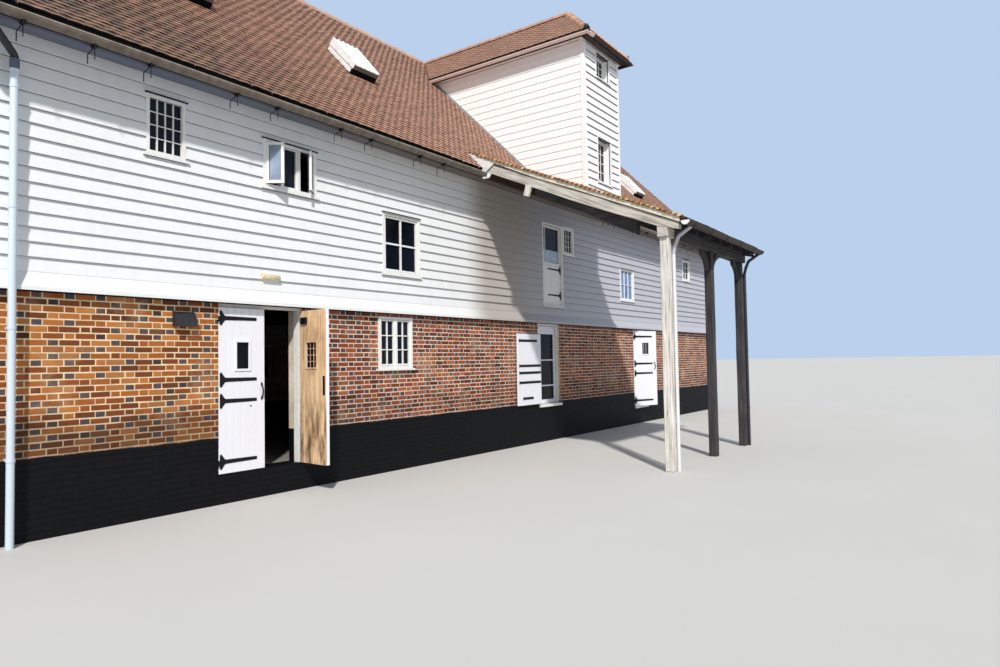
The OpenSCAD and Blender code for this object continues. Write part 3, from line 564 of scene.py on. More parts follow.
def bedding():
    """The dark battens and felt between the tiles."""
    f = Finish("bedding")
    # Faces that look down get painted shade.
    colour = f.over(tone(58, 40, 34), (f.noise(9.0, 4.0), 88, 62, 52), (f.under(), 20, 18, 18))
    return f.done(colour, 0.95, f.noise(60.0), 0.004)


def two_tones(name, shade, other, pattern, roughness, bumps, depth, edge=None, share=1, **fixed):
    """Two colours that a noise mixes; edge gives the noise clear patches, of which share shows."""
    f = Finish(name)
    spots = f.noise(*pattern)
    if edge:
        spots = spots.above(*edge) * share
    return f.done(f.over(tone(*shade), (spots, *other)), roughness, f.noise(*bumps), depth, **fixed)


def lamp_shell(name, shade, roughness, dirty=0.3):
    return two_tones(name, shade, (120, 112, 98), (30.0, 4.0), roughness, (80.0,), 0.0005,
                     (0.55, 0.3), dirty)


def timber(name, pale, dark, crack=0.5, lean=0.0, stain=None):
    """Timber with its grain upright or along the ground, as the piece says."""
    f = Finish(name)
    way = f.own("upright")
    lines = (f.noise(34.0, 5.0, (1, 1, 0.05), rough=0.65) * way
             + f.noise(34.0, 5.0, (0.05, 0.05, 1), 5.0, rough=0.65, lean=lean) * (1 - way))
    patch = f.noise(2.5, 4.0, shift=3.0)
    colour = f.over(f.over(tone(*dark), (lines.above(0.5, 0.35), *pale)),
                    (patch.above(0.55, 0.4) * 0.4, *dark))
    if stain:
        low = 1 - f.place.axes()[2].above(1.25, 0.7)
        wet = f.noise(9.0, 5.0, (1, 1, 0.3), 6.0).above(0.5, 0.25) * low + patch.above(0.6, 0.2) * 0.4
        colour = f.over(colour, (wet * 0.75, *stain))
    split = 1 - lines.above(0.36, 0.05)
    return f.done(f.over(colour, (split * crack, 40, 34, 30)), 0.85, lines - split * 0.6, 0.006)


def iron():
    f = Finish("iron")
    rust = f.noise(22.0, 5.0).above(0.66, 0.12)
    return f.done(f.over(tone(13, 13, 15), (rust * 0.5, 60, 40, 32)), 0.55 + rust * 0.3,
                  f.noise(70.0, 3.0), 0.0015, Specular_IOR_Level=0.3)


def glass():
    """Nearly black, with the sky painted in where a pane faces it."""
    f = Finish("glass")
    x, y, z = f.place.axes()
    colour = f.over(tone(10, 11, 16), (f.noise(1.1, 2.0).above(0.5, 0.5), 26, 30, 42))
    cloud = f.noise(3.0, 3.0, shift=1.0).above(0.5, 0.5)
    for s0, s1, low, high, share, dim, bright in (
            (FAR_WINDOW[0], FAR_WINDOW[0] + 0.86, FAR_WINDOW[1], FAR_WINDOW[1] + 0.89, 0.9,
             (84, 112, 160), (140, 168, 208)),
            (LOADING[0], LOADING[0] + 0.92, FIRST, FIRST + 1.36, 0.9,
             (140, 170, 214), (206, 220, 240)),
            (CASEMENT[0] - 0.5, CASEMENT[0] + 0.3, CASEMENT[1], CASEMENT[1] + 0.7, 0.85,
             (130, 146, 172), (176, 188, 208))):
        within = (x.above(station(s0)) * (1 - x.above(station(s1)))
                  * z.above(low) * (1 - z.above(high)))
        if s0 < CASEMENT[0]:
            within = within * (1 - y.above(FRONT - 0.06))
        colour = f.mix(within * share, colour, f.over(tone(*dim), (cloud, *bright)))
    return f.done(colour, 0.1, f.noise(5.0, 1.0), 0.001, IOR=1.35, Specular_IOR_Level=0.25)


def gutter_plastic(name="gutter_plastic", shade=(122, 112, 102), soiled=(86, 78, 70)):
    """Brown on the main eaves, dark on the canopy, dark and pale on the tower."""
    f = Finish(name)
    x, y, z = f.place.axes()
    tower = z.above(8.0)
    colour = f.over(tone(*shade), (f.noise(9.0, 5.0, (1, 1, 0.3)).above(0.5, 0.35) * 0.6, *soiled),
                    (tower + 1 - y.above(-7.0), 58, 50, 46),
                    (tower * (1 - x.above(TOWER_L)), 228, 208, 204))
    return f.done(colour, 0.5, f.noise(40.0), 0.0008, Specular_IOR_Level=0.15)


def pipe_paint():
    """Pale blue on the main pipe below its black neck, white and grey-blue on the canopy's two."""
    f = Finish("pipe_paint")
    x, _, z = f.place.axes()
    main = f.over(tone(206, 218, 230), (z.above(5.1), 84, 92, 108), (z.above(5.21), 24, 24, 28))
    canopy = f.over(tone(226, 226, 224), (z.above(3.62), 188, 188, 198))
    colour = f.over(f.mix(x.above(-6.0), main, canopy), (x.above(0.0), 48, 46, 52))
    return f.done(colour, 0.4, f.noise(40.0), 0.0006)


# Each finish by its short name: what makes it and what that takes
FINISHES = {
    "boards": (board_paint,), "gloss": (gloss_paint,), "brick": (brick,), "mortar": (mortar,),
    "tile": (roof_tile,), "salmon_tile": (roof_tile, "salmon_tile", SALMON),
    "verge_tile": (verge_tile,), "bedding": (bedding,), "iron": (iron,), "glass": (glass,),
    "gutter": (gutter_plastic,), "rim": (gutter_plastic, "rim", (186, 176, 162), (132, 122, 110)),
    "pipe": (pipe_paint,), "soffit_paint": (soffit_paint,),
    "lime": (two_tones, "lime", (186, 176, 160), (140, 128, 112), (20.0, 5.0), 0.95, (70.0, 5.0), 0.006),
    "lead": (two_tones, "lead", (150, 150, 154), (190, 190, 192), (6.0, 5.0), 0.55, (25.0, 3.0), 0.004),
    "lid": (two_tones, "lid_paint", (248, 250, 250), (150, 150, 128), (7.0, 5.0), 0.55, (50.0,), 0.001,
            (0.6, 0.2), 0.3),
    "concrete": (two_tones, "concrete", (150, 148, 142), (112, 108, 100), (8.0, 6.0), 0.9,
                 (60.0, 5.0), 0.003),
    "floor": (two_tones, "floor_paint", (214, 212, 208), (206, 204, 200), (0.4, 3.0), 0.9,
              (30.0, 3.0), 0.0008),
    "cream": (lamp_shell, "cream", (226, 214, 178), 0.4),
    "black_shell": (lamp_shell, "black_shell", (34, 34, 38), 0.5, 0.1),
    "silver_oak": (timber, "silver_oak", (244, 240, 234), (190, 183, 174)),
    "beam_oak": (timber, "beam_oak", (224, 218, 208), (160, 152, 143), 0.4, -math.atan(CANOPY_SLOPE)),
    # dark_oak's near-black stands for dark timber and, on the parts under the canopy and the tower's front
    # eaves, for painted shade.
    "dark_oak": (timber, "dark_oak", (74, 70, 72), (34, 32, 34)),
    "raw_wood": (timber, "raw_wood", (250, 216, 174), (202, 160, 118), 0.3, 0.0, (84, 54, 34)),
    "floor_wood": (timber, "floor_wood", (168, 132, 94), (112, 82, 56), 0.6),
    "cream_edge": (gloss_paint, "cream_edge", (232, 222, 200), 0.6),
    "leaf": (gloss_paint, "leaf_paint", (240, 240, 248), 0.35, 0.15),
    "eaves": (gloss_paint, "eaves_paint", (240, 240, 240), 0.45, 0.5, (178, 176, 168), None),
    # The rooflights' white lips, coloured grey-brown as painted shade.
    "lip": (gloss_paint, "lip_paint", (172, 154, 136), 0.6),
    # Near-black for painted shade in gaps: under the foot boards and round the rooflights' lids.
    "gap": (gloss_paint, "gap", (20, 22, 26), 0.9, 0.3, (40, 40, 44), (10, 10, 12)),
    # Near-black, mostly painted shade: strips over window heads and the fascias under the tile edges.
    "black_paint": (gloss_paint, "black_paint", (14, 14, 16), 0.7, 1.0, (34, 32, 32), (16, 16, 18)),
}
SET_VALUES = {"lead": {"Metallic": 0.35}, "gap": {"Specular_IOR_Level": 0.1},
              "black_paint": {"Specular_IOR_Level": 0.1}}
made = {}


def finish(name):
    """The material of a finish, made once."""
    if name not in made:
        maker, *values = FINISHES[name]
        made[name] = maker(*values, **SET_VALUES.get(name, {}))
    return made[name]


# What repeats


def laying_tree():
    """Lays copies of a unit on points that carry their size and turn."""
    if "laying" in made:
        return made["laying"]
    t = Tree("Laying", Unit="object", Material="material", Slip=(0.0, 0.0, 0.0),
             Tilt=(0.0, 0.0, 0.0), Wave=0.0, Wave_Scale=1.0, Seed=0)
    seed = t.input("Seed")
    points = t.node("GeometryNodeSetPosition", {}, {
        "Geometry": t.input("Geometry"),
        "Offset": t.vector("MULTIPLY", t.scatter(seed), t.input("Slip"))})
    laid = t.node("GeometryNodeInstanceOnPoints", {}, {
        "Points": points, "Scale": t.named("size"),
        "Instance": t.node("GeometryNodeObjectInfo", {"transform_space": "ORIGINAL"},
                           {"Object": t.input("Unit")}, "Geometry"),
        "Rotation": t.vector("MULTIPLY_ADD", t.scatter(seed + 7), t.input("Tilt"), t.named("turn"))})
    tint = t.node("FunctionNodeRandomValue", {"data_type": "FLOAT"},
                  {2: 0.0, 3: 1.0, "Seed": seed + 3}, 1)
    laid = t.node("GeometryNodeStoreNamedAttribute", {"data_type": "FLOAT", "domain": "INSTANCE"},
                  {"Geometry": laid, "Name": "tint", "Value": tint})
    real = t.node("GeometryNodeRealizeInstances", {}, {0: laid})
    wave = t.node("ShaderNodeTexNoise", {}, {"Vector": t.node("GeometryNodeInputPosition"),
                                              "Scale": t.input("Wave_Scale"), "Detail": 1.0}, "Color")
    wave = t.vector("SCALE", t.vector("SUBTRACT", wave, (0.5, 0.5, 0.5)), Scale=t.input("Wave"))
    waved = t.node("GeometryNodeSetPosition", {}, {"Geometry": real, "Offset": wave})
    t.end("NodeGroupOutput", t.node("GeometryNodeSetMaterial", {}, {
        "Geometry": t.node("GeometryNodeRealizeInstances", {}, {0: waved}),
        "Material": t.input("Material")}))
    made["laying"] = t
    return t


class Laying:
    """A list of places for copies of one unit."""

    def __init__(self, unit, material):
        self.unit, self.material = unit, material
        self.spots, self.sizes, self.turns, self.kinds = [], [], [], []

    def put(self, spot, size=(1, 1, 1), turn=(0, 0, 0), kind=0.0):
        self.spots.append(tuple(spot))
        self.sizes.extend(size)
        self.turns.extend(turn)
        self.kinds.append(kind)

    def piece(self, name, seed, slip=(0, 0, 0), tilt=(0, 0, 0), wave=0.0, wave_scale=1.0, smooth=0):
        """Lays the copies, each moved by slip and turned by tilt at random, all bent by wave."""
        source = bpy.data.meshes.new("points")
        source.from_pydata(self.spots, [], [])
        for key, values in (("size", self.sizes), ("turn", self.turns)):
            source.attributes.new(key, "FLOAT_VECTOR", "POINT").data.foreach_set("vector", values)
        source.attributes.new("kind", "FLOAT", "POINT").data.foreach_set("value", self.kinds)
        unit = link(bpy.data.objects.new("unit", self.unit))
        obj = laying_tree().run(name, source, Unit=unit, Material=finish(self.material), Slip=slip,
                                Tilt=tilt, Wave=wave, Wave_Scale=wave_scale, Seed=seed)
        bpy.data.objects.remove(unit)
        for key in ("size", "turn"):
            if key in obj.data.attributes:
                obj.data.attributes.remove(obj.data.attributes[key])
        settle(obj, smooth=smooth)


def cut_row(low, high, gaps):
    """What the gaps leave of a row from low to high."""
    left, at = [], low
    for a, b in sorted(gaps):
        if a > at:
            left.append((at, min(a, high)))
        at = max(at, b)
    if at < high:
        left.append((at, high))
    return [(a, b) for a, b in left if b - a > 0.015]


def unit_of(points, faces):
    shape = Shape()
    shape.add(points, faces)
    return shape.finish()


def wedge_unit():
    """A weatherboard 1 m long and 1 m wide: thick at its foot, thin at its head."""
    shape, foot, head = Shape(), sizes().board_foot, 0.004
    shape.prism([(0.0, 0.0), (-foot, 0.0), (-foot - 0.001, 0.05), (-head, 1.0), (0.0, 1.0)],
                "X", 0.0, 1.0)
    return shape.finish()


def brick_unit(side=0.025, edge=0.06):
    """A brick 1 m long, high and deep with worn edges, open at its back."""
    return unit_of([(0, 0, 0), (1, 0, 0), (1, 0, 1), (0, 0, 1), (side, -1, edge),
                    (1 - side, -1, edge), (1 - side, -1, 1 - edge), (side, -1, 1 - edge)],
                   [(4, 5, 6, 7), (0, 1, 5, 4), (1, 2, 6, 5), (2, 3, 7, 6), (3, 0, 4, 7), (3, 2, 1, 0)])


def tile_unit(width, length, thick):
    """A cambered clay tile with its foot at the origin, its head up the slope on +Y."""
    xs = [(-0.5, 0.0), (0.0, 0.25 * thick), (0.5, 0.0)]
    mesh = unit_of([(x * width, y, z + up) for y, up in (
        (0.0, thick), (length, thick), (0.0, 0.0), (length, 0.0)) for x, z in xs],
        [(0, 1, 4, 3), (1, 2, 5, 4), (6, 7, 1, 0), (7, 8, 2, 1), (9, 3, 4, 10), (10, 4, 5, 11),
         (0, 3, 9, 6), (2, 8, 11, 5), (7, 6, 9, 10), (8, 7, 10, 11)])
    mesh.attributes.new("head", "FLOAT", "POINT").data.foreach_set(
        "value", [v.co.y / length for v in mesh.vertices])
    return mesh


def half_round_unit(sides=8):
    """A ridge tile 1 m long along X and 1 m in radius, its rim flared at one end."""
    rings = ((0.0, 1.0), (0.04, 1.0), (0.06, 0.93), (1.0, 0.93), (0.0, 0.8), (1.0, 0.8))
    points = [(x, r * math.cos(a), r * math.sin(a)) for x, r in rings
              for a in (math.pi * k / sides for k in range(sides + 1))]
    count = sides + 1
    faces = [(i * count + k, i * count + k + 1, j * count + k + 1, j * count + k)
             for i, j in ((0, 1), (1, 2), (2, 3), (4, 5), (0, 4), (3, 5)) for k in range(sides)]
    faces += [tuple(i * count + k for i in (0, 1, 2, 3, 5, 4)) for k in (0, sides)]
    return unit_of(points, faces)


def bar_unit(edge=0.12):
    """A planed bar 1 m each way with its front edges taken off."""
    far = 1 - edge
    return unit_of([(0, 1, 0), (1, 1, 0), (1, 1, 1), (0, 1, 1), (0, edge, 0), (1, edge, 0),
                    (1, edge, 1), (0, edge, 1), (edge, 0, edge), (far, 0, edge), (far, 0, far),
                    (edge, 0, far)],
                   [(0, 1, 2, 3), (0, 4, 5, 1), (1, 5, 6, 2), (2, 6, 7, 3), (3, 7, 4, 0),
                    (4, 8, 9, 5), (5, 9, 10, 6), (6, 10, 11, 7), (7, 11, 8, 4), (8, 11, 10, 9)])


# Openings in the walls, as in the frame: ranges along the wall and in height


def ranges(rows):
    return [(station(s), station(s + w), z, z + h) for s, z, w, h in rows]


def back_openings(upper=True):
    if upper:
        return ranges((LONG * (i + 0.5) / 5 - 0.45, FIRST + 0.75, 0.9, 0.9) for i in range(5))
    return ranges((LONG * i / 5 - 0.42, BRICK_TOP - 1.25, 0.84, 0.9) for i in range(1, 5))


def gable_openings():
    return [(FRONT + near, FRONT + near + w, z, z + w) for near, z, w in (
        (DEEP / 2 - 2.2, FIRST + 0.75, 0.9), (DEEP / 2 + 1.3, FIRST + 0.75, 0.9),
        (DEEP / 2 - 0.4, ROOF_Z - 0.59 + 1.04, 0.8))]


def tower_openings():
    return [(TOWER_L + 0.56, TOWER_L + 1.17, low, high) for low, high in (
        (TOWER_TOP - 0.79, TOWER_TOP - 0.25), (canopy_top(1.5) + 0.38, canopy_top(1.5) + 1.38))]


def mirrored(gaps):
    return [(-b, -a, low, high) for a, b, low, high in gaps]


# The walls: each one's turn about Z, and the place of a distance along it at a height
WALLS = {
    "front": (0, lambda s, z: (s, FRONT, z)), "back": (math.pi, lambda s, z: (-s, -FRONT, z)),
    "left": (-QUARTER, lambda s, z: (LEFT, -s, z)), "right": (QUARTER, lambda s, z: (RIGHT, s, z)),
    "tower_front": (0, lambda s, z: (s, TOWER_FRONT, z)),
    "tower_left": (-QUARTER, lambda s, z: (TOWER_L, -s, z)),
    "tower_right": (QUARTER, lambda s, z: (TOWER_R, s, z)),
}


# Boards, bricks and tiles


def lay_boards(laying, wall, ends, foot, top, gaps, seed, deep=1):
    """Weatherboards along a wall, cut round its gaps.

    ends are its two ends, or give them for the height of each row's head; deep thins the boards.
    """
    rng = random.Random(seed)
    turn, seat = WALLS[wall]
    step, lap, z = sizes().board_step, 0.022, foot
    while z < top - 0.02:
        head = min(z + step, top)
        a, b = ends(head) if callable(ends) else ends
        blocked = [g for g in gaps if g[2] < head - 0.004 and g[3] > z + 0.004]
        spans = [(s, z, head + (lap if head < top else 0))
                 for s in cut_row(a, b, [g[:2] for g in blocked])]
        for g in blocked:
            if g[2] > z + 0.02:
                spans.append(((max(g[0], a), min(g[1], b)), z, g[2]))
            if g[3] < head - 0.02:
                spans.append(((max(g[0], a), min(g[1], b)), g[3], head + lap))
        for (start, end), foot_z, head_z in spans:
            while end - start > 0.01:
                length = min(rng.uniform(3.4, 5.2), end - start)
                if end - start - length < 0.6:
                    length = end - start
                laying.put(seat(start + 0.001, foot_z), (length - 0.002, deep, head_z - foot_z),
                           (0, 0, turn))
                start += length
        z += step


def gable_ends(z):
    """The ends of the gable's boarding at a height."""
    half = min(max(0.0, min(DEEP / 2, RIDGE_Z - ROOF_RISE - z)), -FRONT - 0.07)
    return -half, half


def tower_back(z):
    """Where the tower's side wall meets the slope or the canopy at a height, as Y."""
    if z < ROOF_Z - VALLEY:
        return FRONT - max(VALLEY, CANOPY_OUT - (z - CANOPY_TOP_Z) / CANOPY_SLOPE)
    return z - RIDGE_Z


def make_boards():
    unit, corner = wedge_unit(), 0.07
    high, tower_high = RIDGE_Z - ROOF_RISE - 0.05, TOWER_TOP - 0.14
    low = canopy_top(FRONT - TOWER_FRONT) + 0.05
    front = ranges((SMALL_WINDOW, WIDE_WINDOW, SHADED_WINDOW, FAR_WINDOW, LAST_WINDOW, CASEMENT, LOADING))
    walls = {
        "front": [("front", (LEFT + corner, RIGHT - corner), SKIRT_TOP, EAVES_Z, front, 3)],
        "back": [("back", (-RIGHT + corner, -LEFT - corner), SKIRT_TOP, EAVES_Z,
                  mirrored(back_openings()), 4)],
        "left_gable": [("left", gable_ends, BRICK_TOP, high, mirrored(gable_openings()), 5)],
        "right_gable": [("right", gable_ends, BRICK_TOP, high, gable_openings(), 5)],
        "tower": [("tower_front", (TOWER_L + 0.05, TOWER_R - 0.05), low, tower_high, tower_openings(), 6),
                  ("tower_left", lambda z: (-tower_back(z), -TOWER_FRONT - 0.05), low, tower_high, [], 7, 0.45),
                  ("tower_right", lambda z: (TOWER_FRONT + 0.05, tower_back(z)), low, tower_high, [], 8)],
    }
    for (name, rows), seed in zip(walls.items(), (11, 12, 13, 13, 14)):
        laying, tower = Laying(unit, "boards"), name == "tower"
        for row in rows:
            lay_boards(laying, *row)
        laying.piece(name + "_boards", seed, (0, 0.001, 0.001 if tower else 0.002),
                     (0, 0.001 if tower else 0.0012, 0), 0.004 if tower else 0.006, 0.9)


def lay_bricks(laying, wall, low, high, gaps):
    """Flemish bond between two ends along a wall, with every brick cut at a gap."""
    turn, seat = WALLS[wall]
    joint, course, header, proud = sizes().joint, sizes().course, 0.1025, 0.003
    period = sizes().stretcher + header + 2 * joint
    rng = random.Random(len(laying.spots) + 5)
    row, z, top = 0, 0.008, BRICK_TOP - 0.005
    while z < top - 0.02:
        head = min(z + course - joint, top)
        blocked = [g[:2] for g in gaps if g[2] < head - 0.004 and g[3] > z + 0.01]
        for a, b in cut_row(low, high, blocked):
            at = low + (-period / 2 if row % 2 else 0.0)
            at += math.floor((a - at) / period) * period
            while at < b:
                for length, kind in ((sizes().stretcher, 0.0), (header, 1.0)):
                    left, right = max(at + rng.uniform(-0.004, 0.003), a), min(at + length, b)
                    under, over = z + rng.uniform(-0.001, 0.003), head + rng.uniform(-0.003, 0.001)
                    if right - left > 0.03:
                        laying.put(seat(left, under), (right - left, proud, over - under),
                                   (0, 0, turn), kind)
                    at += length + joint
        z += course
        row += 1


def make_bricks():
    unit = brick_unit()
    s, sill, w, h = GROUND_WINDOW
    gaps = [(station(a), station(b), sill_z, 9) for (a, b), sill_z in (
        (DOOR_1, 0.4), (DOOR_2, 0.8), (DOOR_3, 0.44))]
    gaps += [(station(s), station(s + w), sill - 0.035, sill + h)]
    even = dict(slip=(0.0015, 0.0008, 0.0015), tilt=(0, 0.004, 0))
    for name, seed, rows, values in (
            ("front", 21, [("front", LEFT, RIGHT, gaps)],
             dict(slip=(0.002, 0.0008, 0.002), tilt=(0, 0.009, 0), wave=0.006, wave_scale=2.0)),
            ("back", 22, [("back", -RIGHT, -LEFT, mirrored(back_openings(False)))], even),
            ("gable", 23, [("left", FRONT, -FRONT, []), ("right", FRONT, -FRONT, [])], even)):
        laying = Laying(unit, "brick")
        for row in rows:
            lay_bricks(laying, *row)
        laying.piece(name + "_bricks", seed, **values)


def turn_of(u, v):
    """The turn that carries X to u and Y to v."""
    return Matrix((u, v, u.cross(v))).transposed().to_euler("XYZ")


def lay_tiles(laying, origin, u, v, ends, length, gaps=(), lean=0.0, inset=0.0):
    """Tiles on one slope, course by course from its eaves, each course half a tile along.

    ends are the slope's left and right ends at the eaves; lean is how far they move for each metre up.
    """
    origin, u, v = Vector(origin), Vector(u).normalized(), Vector(v).normalized()
    wide, gauge = sizes().tile_wide, sizes().tile_gauge
    tilt = (turn_of(u, v).to_matrix()
            @ Matrix.Rotation(-math.atan2(0.014, gauge) * 0.55, 3, "X")).to_euler("XYZ")
    leans = lean if isinstance(lean, tuple) else (lean, lean)
    rows = int(round((length - inset) / gauge))
    for row in range(rows):
        t = inset + row * (length - inset) / rows
        a, b = ends[0] + leans[0] * t, ends[1] + leans[1] * t
        start = a + (0.5 if row % 2 else 0.0) * wide
        for k in range(-1, int((b - a) / wide) + 2):
            s = start + (k + 0.5) * wide
            left, right = max(s - wide / 2, a), min(s + wide / 2, b)
            if right - left < wide * 0.4:
                continue
            s = (left + right) / 2
            if not any(g[0] < s < g[1] and g[2] < t + gauge * 0.5 < g[3] for g in gaps):
                laying.put(origin + u * s + v * t + u.cross(v) * 0.006,
                           ((right - left - 0.0015) / wide, 1, 1), tilt)


def make_tiles():
    gauge, over = sizes().tile_gauge, 0.1
    unit = tile_unit(sizes().tile_wide, gauge * 1.22, 0.022)
    foot, along = (FRONT - EAVES_Y) / ROOT, (0.0, LONG + 2 * over)
    gaps = [(s + 0.06, s + ROOFLIGHT_W + 0.14, foot + low - 0.05, foot + low + ROOFLIGHT_LONG + 0.03)
            for s, low in ROOFLIGHTS]
    shift = over - LEFT
    gaps += [(TOWER_L + shift, TOWER_R + shift, -1, 4.6),
             (CANOPY_L + shift - 0.02, CANOPY_R + shift + 0.02, -1, 0.5)]
    slope = math.sqrt(1 + CANOPY_SLOPE**2)
    near, up = RIDGE_Z - HIP_EAVES, HIP_HALF / ROOT
    main = dict(slip=(0.014, 0.003, 0.002), tilt=(0.012, 0.012, 0.008), wave=0.035, wave_scale=0.35)
    for name, seed, slopes, values in (
            ("front", 31, [((LEFT - over, EAVES_Y, EAVES_TOP), (1, 0, 0), (0, ROOT, ROOT), along,
                            -EAVES_Y / ROOT, gaps, 0.0, -0.03)], main),
            ("back", 32, [((RIGHT + over, -EAVES_Y, EAVES_TOP), (-1, 0, 0), (0, -ROOT, ROOT), along,
                           -EAVES_Y / ROOT, (), 0.0, -0.03)], main),
            ("tower", 33, [((HIP_LOW.x, 0, HIP_EAVES), (0, -1, 0), (ROOT, 0, ROOT),
                            (near, -HIP_LOW.y), up, (), -ROOT),
                           ((HIP_HIGH.x, 0, HIP_EAVES), (0, 1, 0), (-ROOT, 0, ROOT),
                            (HIP_LOW.y, -near), up, (), ROOT),
                           ((HIP_LOW.x, HIP_LOW.y, HIP_EAVES), (1, 0, 0), (0, ROOT, ROOT),
                            (0.0, 2 * HIP_HALF), up, (), (ROOT, -ROOT))],
             dict(slip=(0.002, 0.002, 0.001), tilt=(0.01, 0.01, 0.006), wave=0.012, wave_scale=0.5)),
            ("canopy", 34, [((CANOPY_L, CANOPY_FRONT, CANOPY_TOP_Z), (1, 0, 0), (0, 1, CANOPY_SLOPE),
                             (-0.035, CANOPY_R - CANOPY_L), (CANOPY_OUT - VALLEY) * slope,
                             [(TOWER_L - CANOPY_L, TOWER_R - CANOPY_L,
                               (CANOPY_OUT + TOWER_FRONT - FRONT) * slope, 99)])],
             dict(slip=(0.003, 0.003, 0.002), tilt=(0.016, 0.016, 0.01), wave=0.03, wave_scale=0.6))):
        laying = Laying(unit, "tile")
        for values_of_slope in slopes:
            lay_tiles(laying, *values_of_slope)
        laying.piece(name + "_tiles", seed, **values)
    verge = Laying(tile_unit(0.13, gauge * 1.25, 0.034), "verge_tile")
    lean = turn_of(Vector((1, 0, 0)), Vector((0, 1, CANOPY_SLOPE)).normalized()).to_matrix()
    tilt = (lean @ Matrix.Rotation(-0.17, 3, "X")).to_euler("XYZ")
    for row in range(int((CANOPY_OUT - 0.3) * slope / gauge)):
        up = row * gauge / slope
        verge.put((CANOPY_L + 0.02, CANOPY_FRONT + up, CANOPY_TOP_Z + CANOPY_SLOPE * up + 0.002),
                  turn=tilt)
    verge.piece("canopy_verge_tiles", 35, (0.006, 0.006, 0.002), (0.02, 0.02, 0.02), 0.03, 0.6)


def lay_ridge(laying, start, end, radius, step=0.2, sink=0.45):
    """Half-round tiles along a line from start to end."""
    start, end = Vector(start), Vector(end)
    along = (end - start).normalized()
    turn = turn_of(along, Vector((0, 0, 1)).cross(along).normalized())
    count = max(1, round((end - start).length / step))
    for k in range(count):
        laying.put(start.lerp(end, k / count) - Vector((0, 0, radius * sink)),
                   ((end - start).length / count * 1.08, radius, radius), turn)


def make_ridges():
    unit, tilt = half_round_unit(), (0.01, 0.01, 0.01)
    top, mid = RIDGE_Z + 0.005, (HIP_HIGH.x + HIP_LOW.x) / 2
    apex = Vector((mid, HIP_LOW.y + HIP_HALF, HIP_HIGH.z + 0.02))
    corner = Vector((HIP_LOW.x, HIP_LOW.y, HIP_EAVES + 0.03))
    joint = corner.lerp(apex, 0.45)
    for name, material, seed, lines, slip, wave in (
            ("ridge_tiles", "tile", 41,
             [((LEFT - 0.1, 0, top), (RIGHT + 0.08, 0, top), 0.14, 0.33, 0.72)],
             (0, 0.003, 0.003), (0.035, 0.35)),
            ("tower_new_hip_tiles", "salmon_tile", 43, [(joint, apex, 0.085)], (0, 0.002, 0.002), ()),
            ("tower_ridge_tiles", "tile", 42,
             [(apex, (mid, -0.2, HIP_HIGH.z + 0.02), 0.11, 0.31, 0.55), (corner, joint, 0.08),
              ((HIP_HIGH.x, HIP_LOW.y, HIP_EAVES + 0.03), apex, 0.085)], (0, 0.002, 0.002), ())):
        laying = Laying(unit, material)
        for line in lines:
            lay_ridge(laying, *line)
        laying.piece(name, seed, slip, tilt, *wave, smooth=50)


# Windows and doors


def put_bar(laying, place, low, high):
    """One bar between two corners of a window's own frame."""
    low, high = Vector(low), Vector(high)
    laying.put(place @ low, high - low, place.to_euler("XYZ"))


def put_frame(laying, place, x0, x1, z0, z1, wide, front, back, set_back=0.0):
    """Four bars round a light: its uprights, its foot and its head."""
    for x in (x0, x1 - wide):
        put_bar(laying, place, (x, front, z0), (x + wide, back, z1))
    for z in (z0, z1 - wide):
        put_bar(laying, place, (x0, front + set_back, z), (x1, back, z + wide))


def put_window(laying, place, w, h, cols, rows, bar=0.02, sash=0.036, casing=0.0, mullion=0.0,
               face=0.016, glass_y=0.05):
    """Sashes, glazing bars and the outer casing of one window, in front of its glass."""
    low, high, lights = 0.045, h - 0.045, [(0.045, w - 0.045)]
    if mullion:
        lights = [(low, (w - mullion) / 2), ((w + mullion) / 2, w - low)]
        put_bar(laying, place, ((w - mullion) / 2, 0.004, low), ((w + mullion) / 2, glass_y, high))
    for left, right in lights:
        put_frame(laying, place, left, right, low, high, sash, face, glass_y, 0.002)
        inner, tall = right - left - 2 * sash, high - low - 2 * sash
        for k in range(1, cols):
            x = left + sash + inner * k / cols - bar / 2
            put_bar(laying, place, (x, face + 0.008, low + sash * 0.5),
                    (x + bar, glass_y, high - sash * 0.5))
        for k in range(1, rows):
            z = low + sash + tall * k / rows - bar / 2
            put_bar(laying, place, (left + sash * 0.5, face + 0.01, z),
                    (right - sash * 0.5, glass_y, z + bar))
    if casing:
        for x0, x1, y, z in ((-casing, 0.012, -0.006, -casing), (w - 0.012, w + casing, -0.006, -casing),
                             (-casing, w + casing, -0.007, h - 0.012)):
            put_bar(laying, place, (x0, y, z), (x1, 0.03, h + casing))


def window_seat(s, z):
    return Matrix.Translation((station(s), FRONT - 0.03, z))


